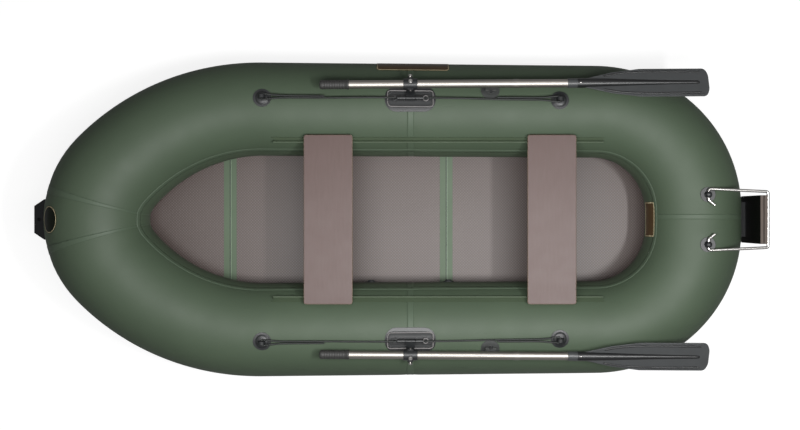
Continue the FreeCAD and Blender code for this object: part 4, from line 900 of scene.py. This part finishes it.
def skin_point(x, side, height, outboard=0.0):
    """A point above the skin on the rowlocks' line, moved outboard along the skin's tangent."""
    reach = tube_radius(x) + height
    half = side_half(x) + reach * math.sin(ROWLOCK_LEAN) + outboard * math.cos(ROWLOCK_LEAN)
    height = tube_height(x) + reach * math.cos(ROWLOCK_LEAN) - outboard * math.sin(ROWLOCK_LEAN)
    return Vector((x, side * half, height))


def spline_points(points, step):
    """Evenly spread points read from the smooth spline through a route."""
    curve = bpy.data.curves.new("route", "CURVE")
    curve.dimensions = "3D"
    curve.resolution_u = SPLINE_STEPS
    spline = curve.splines.new("NURBS")
    spline.points.add(len(points) - 1)
    for target, point in zip(spline.points, points):
        target.co = (*point, 1)
    spline.order_u = 3
    spline.use_endpoint_u = True
    holder = bpy.data.objects.new("route", curve)
    bpy.context.scene.collection.objects.link(holder)
    line = [vert.co.copy() for vert in bpy.data.meshes.new_from_object(holder).vertices]
    bpy.data.objects.remove(holder)
    spots, carried = [line[0]], 0.0
    for before, after in zip(line, line[1:]):
        length = (after - before).length
        while carried + length >= step:
            before = before.lerp(after, (step - carried) / length)
            spots.append(before)
            length, carried = (after - before).length, 0.0
        carried += length
    return spots


print("the rowlocks' line leans", round(math.degrees(ROWLOCK_LEAN), 1), "degrees from the crest")

# %% [markdown]
# ## Bars and ropes
# At each point of a route stands a frame, and a section is extruded from one to the next. It is a
# circle, or three lobes for the three strands of a rope, and turns as it goes along. Both ends are
# filled.

# %% Bar or rope along a route
ROPE_STEP = 0.0035
STRANDS = 3
LOBE_POWER = 0.7


def run_along(form, points, radius, lobe=0.0, twist=0.0, step=ROPE_STEP, sides=18):
    """Adds a round bar along a route, or a rope whose lobes turn by twist each metre.

    Returns its length.
    """
    line = spline_points(points, step)
    up, frames = Vector((0, 0, 1)), []
    for index, spot in enumerate(line):
        along = (line[min(index + 1, len(line) - 1)] - line[max(index - 1, 0)]).normalized()
        across = along.cross(up).normalized()
        up = across.cross(along)
        axes = Matrix((up, across, along)).transposed().to_4x4()
        frames.append(Matrix.Translation(spot) @ axes @ Matrix.Rotation(index * step * twist, 4, "Z"))
    ring = bmesh.ops.create_circle(form, cap_ends=False, segments=sides, radius=radius)["verts"]
    for vert in ring:
        crown = abs(math.cos(STRANDS / 2 * math.atan2(vert.co.y, vert.co.x))) ** LOBE_POWER
        vert.co *= 1 - lobe * (1 - crown)
    bmesh.ops.transform(form, matrix=frames[0], verts=ring)
    first = list(dict.fromkeys(edge for vert in ring for edge in vert.link_edges))
    last = sweep(form, first, frames)
    bmesh.ops.holes_fill(form, edges=first + last, sides=0)
    return step * len(line)


print("points every", ROPE_STEP, "m")

# %% [markdown]
# ## Laid lifelines
# The rope runs straight to the rowlock, and is spliced back on itself round each end eye, so it is
# double there. It makes one turn of its strands in about four diameters. Each point of its route is a
# place along the boat and how far outboard of the line it lies: out along one leg, round the eye, back
# along the other, and into one again on the way to its hole in the rowlock.

# %% Lifelines
ROPE_RADIUS = 0.004
ROPE_HEIGHT = 0.020
STRAND_TURN = 0.030
STRAND_LOBE = 0.16
EYE_X = {-1: -0.548, 1: 0.694}
EYE_HALF, EYE_BEYOND, SHOULDER_BACK = 0.0115, 0.001, 0.019
LEG_HALF, SPLIT_HALF, TAIL_HALF = 0.0041, 0.0042, 0.0038
SPLIT_AT, TAIL_AT, JOIN_AT = 0.13, 0.47, 0.77
ROWLOCK_X, ROPE_HOLE, HOLE_BACK = 0.0700, 0.064, 0.006
HOLE_HEIGHTS = (ROPE_HEIGHT - 0.001, 0.006)

for name, side in SIDES:
    form = bmesh.new()
    lengths = []
    for end, eye in EYE_X.items():
        hole = ROWLOCK_X + end * ROPE_HOLE
        loop, shoulder = eye + end * EYE_BEYOND, eye - end * SHOULDER_BACK
        split, tail, join = (eye + (hole - eye) * share for share in (SPLIT_AT, TAIL_AT, JOIN_AT))
        halfway = (tail + split) / 2
        route = [(tail, LEG_HALF), (halfway, LEG_HALF), (split, SPLIT_HALF), (shoulder, EYE_HALF),
                 (loop, EYE_HALF), (loop, 0.0), (loop, -EYE_HALF), (shoulder, -EYE_HALF),
                 (split, -SPLIT_HALF), (halfway, -LEG_HALF), (tail, -TAIL_HALF), (join, 0.0),
                 (hole - end * HOLE_BACK, 0.0)]
        route = [skin_point(x, side, ROPE_HEIGHT, outboard) for x, outboard in route]
        route += [skin_point(hole, side, height) for height in HOLE_HEIGHTS]
        lengths.append(run_along(form, route, ROPE_RADIUS, STRAND_LOBE, 2 * math.pi / STRAND_TURN))
    new_piece(f"lifeline_rope_{name}", form, rope_fibre, "hull", (f"lifeline_{name}",))
    print(name, "lifeline", [round(length, 3) for length in lengths], "m")

# %% [markdown]
# ## Ribbed grips
# A grip is a soft sleeve pushed on the shaft's end, with finger grooves and a thicker collar. It is a
# profile of a few points, from the middle of its end out and along, spun once round the oar's axis.

# %% Grips
GRIP_RADIUS, GROOVE_RADIUS = 0.0192, 0.0177
GROOVES, GROOVE_PITCH, GROOVES_START = 9, 0.0105, -0.046
GROOVE = [(GRIP_RADIUS, 0.0), (GROOVE_RADIUS, 0.0022), (GROOVE_RADIUS, 0.0052), (GRIP_RADIUS, 0.0074)]
GRIP_END = [(0.0, -0.0615), (0.010, -0.0612), (0.0160, -0.0590), (0.0188, -0.054),
            (GRIP_RADIUS, -0.048)]
COLLAR = [(GRIP_RADIUS, 0.0515), (0.0208, 0.0535), (0.0208, 0.0585), (GRIP_RADIUS, 0.0608),
          (0.0168, 0.0608)]


def turned(form, profile, place, steps=32):
    """Spins a profile of (radius, height) points round z, and moves it to its place."""
    old = set(form.verts)
    spots = [bmesh.ops.create_vert(form, co=(radius, 0, height))["vert"][0]
             for radius, height in profile]
    edges = [form.edges.new(pair) for pair in zip(spots, spots[1:])]
    bmesh.ops.spin(form, geom=spots + edges, cent=(0, 0, 0), axis=(0, 0, 1), dvec=(0, 0, 0),
                   angle=2 * math.pi, steps=steps, use_merge=True)
    bmesh.ops.remove_doubles(form, verts=[vert for vert in form.verts if vert not in old], dist=1e-6)
    new = [vert for vert in form.verts if vert not in old]
    bmesh.ops.transform(form, matrix=place, verts=new)


def aimed(spot, direction):
    """A place whose z looks along direction."""
    return Matrix.Translation(spot) @ direction.to_track_quat("Z", "Y").to_matrix().to_4x4()


def middle_of(node):
    low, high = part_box(node)
    return (low + high) / 2


oar_places = {}
for name, _ in SIDES:
    spot = middle_of(f"oar_grip_{name}")
    axis = (middle_of(f"oar_ferrule_{name}") - spot).normalized()
    oar_places[name] = (spot, axis)
    profile = GRIP_END[:]
    for start in (GROOVES_START + GROOVE_PITCH * index for index in range(GROOVES)):
        profile += [(radius, start + height) for radius, height in GROOVE]
    form = bmesh.new()
    turned(form, profile + COLLAR, aimed(spot, axis))
    new_piece(f"ribbed_grip_{name}", form, grip_rubber, f"oar_{name}", (f"oar_grip_{name}",))
print("grip points", len(profile + COLLAR))

# %% [markdown]
# ## Blades
# The imported blade has its outline, a thin cone as a spine and two low ribs. On the real moulding the
# spine is a fuller round bar that stops short of the tip in a small dome, and the ribs are soft ridges
# that follow the shoulders. They are coloured black, a painted shade for the dark grooves beside them
# on the grey plate. The bar is turned, and each ridge is a round bar run along a smooth line, half sunk
# in the plate. A bright rivet holds the socket to the shaft. Along the oar, every place is measured from
# its pivot in the rowlock.

# %% Blade spine, ridges and rivet
BLADE_LEAN = math.radians(20)
PIVOT_FROM_GRIP = 0.315
SPINE = ((0.0, 0.690), (0.0199, 0.690), (0.0202, 0.712), (0.0174, 0.800), (0.0126, 0.950),
         (0.0094, 1.080), (0.0080, 1.180), (0.0072, 1.190), (0.0050, 1.1965), (0.0, 1.1995))
RIDGE = ((0.800, 0.0300), (0.845, 0.0400), (0.905, 0.0465), (0.980, 0.0490), (1.090, 0.0490),
         (1.205, 0.0470))
PLATE_HALF = 0.0025
RIDGE_RADIUS = 0.0042
RIDGE_SUNK = 0.001
RIDGE_STEP = 0.010
RIVET = ((0.0, 0.0016), (0.0022, 0.0013), (0.0040, 0.0), (0.0040, -0.0015))
RIVET_ALONG, RIVET_UP = 0.703, 0.0202

for name, side in SIDES:
    spot, axis = oar_places[name]
    pivot = spot + axis * PIVOT_FROM_GRIP
    form = bmesh.new()
    turned(form, SPINE, aimed(pivot, axis))
    out = Vector((0, side * math.sin(BLADE_LEAN), math.cos(BLADE_LEAN)))
    across = axis.cross(out).normalized()
    for face in (-1, 1):
        proud = out * face * (PLATE_HALF - RIDGE_SUNK)
        for edge in (-1, 1):
            run_along(form, [pivot + axis * x + across * edge * y + proud for x, y in RIDGE],
                      RIDGE_RADIUS, step=RIDGE_STEP, sides=16)
    # The spine and ridges are black as painted shade, for the dark of the grooves beside them.
    new_piece(f"blade_ridges_{name}", form, spine_shade_plastic, f"oar_{name}")
    form = bmesh.new()
    turned(form, RIVET, aimed(pivot + axis * RIVET_ALONG + Vector((0, 0, RIVET_UP)), Vector((0, 0, 1))))
    new_piece(f"blade_rivet_{name}", form, bright_steel, f"oar_{name}")
print("ridges end", RIDGE[-1][0], "m from the pivot")

# %% [markdown]
# ## Rowlock lips and bushes
# The rowlock's raised wall ends in a rounded lip, which is what catches the light on it, and the rope
# goes down through a bush at each end. The lip and the aft bush are coloured pale grey as a painted
# highlight; the fore bush stays black. The lip is a round bar run along a rounded rectangle in the
# plane of the wall's top. A bush is a ring, a half circle spun round its hole.

# %% Lips and bushes
LIP_LENGTH, LIP_WIDTH, LIP_HEIGHT = 0.095, 0.034, 0.0058
LIP_RADIUS = 0.0024
LIP_CORNERS = ((-1, -0.3), (-1, -1), (-0.62, -1), (0.62, -1), (1, -1), (1, -0.3), (1, 0.3), (1, 1),
               (0.62, 1), (-0.62, 1), (-1, 1), (-1, 0.3), (-1, -0.3))
BUSH_HALF, BUSH_BASE, BUSH_RISE = 0.0020, 0.0139, 0.0014
# Painted highlight: the pale grey of the lip and the aft bush stands in for light caught on their rims.
highlight_pale_nylon = moulded("glass-filled nylon, pale grey as painted highlight", "6E6B6B", "807D7C", 0.4, 1.2, 0.03)
BUSHES = {"fore": (-1, 0.0088, black_nylon), "aft": (1, 0.0108, highlight_pale_nylon)}

for name, side in SIDES:
    form = bmesh.new()
    run_along(form, [skin_point(ROWLOCK_X + x * LIP_LENGTH, side, LIP_HEIGHT, y * LIP_WIDTH)
                     for x, y in LIP_CORNERS], LIP_RADIUS, sides=12)
    new_piece(f"rowlock_lip_{name}", form, highlight_pale_nylon, "hull")
    out = Vector((0, side * math.sin(ROWLOCK_LEAN), math.cos(ROWLOCK_LEAN)))
    for place, (end, radius, finish) in BUSHES.items():
        form = bmesh.new()
        section = [(radius + BUSH_HALF * math.cos(angle), BUSH_BASE + BUSH_RISE * math.sin(angle))
                   for angle in (math.pi * index / 6 for index in range(7))]
        turned(form, section, aimed(skin_point(ROWLOCK_X + end * ROPE_HOLE, side, 0.0), out))
        new_piece(f"rope_bush_{place}_{name}", form, finish, "hull")
print("lip", LIP_LENGTH * 2, "by", LIP_WIDTH * 2, "m")

# %% [markdown]
# ## Painted highlight in the floor's joints
# Each joint strip between two floor boards has a groove, and one side of it is a small bead whose
# pale green is a painted highlight, the bright line along the joint.
# The bead is a copy of the imported strip, cut down to a narrow slice by two planes, with its cut sides
# filled, and raised a little.

# %% Joint beads
BEAD_HALF = 0.0011
BEAD_LIFT = 0.0010
BEAD_OFFSET = 0.0034

for name in ("fore", "aft"):
    strip = f"floor_strip_{name}"
    middle = middle_of(strip).x + BEAD_OFFSET
    form = bmesh.new()
    form.from_mesh(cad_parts[strip].data)
    bmesh.ops.remove_doubles(form, verts=form.verts, dist=1e-6)
    for spot, sign in ((middle - BEAD_HALF, -1), (middle + BEAD_HALF, 1)):
        edges = cut(form, (spot, 0, 0), (sign, 0, 0), clear_outer=True)
        bmesh.ops.holes_fill(form, edges=edges, sides=0)
    bmesh.ops.translate(form, vec=(0, 0, BEAD_LIFT), verts=form.verts)
    # Its pale green is a painted highlight, not the strip's own colour.
    new_piece(f"joint_bead_{name}", form, highlight_bead_pvc, "hull")
print("beads", 2 * BEAD_HALF, "m wide")
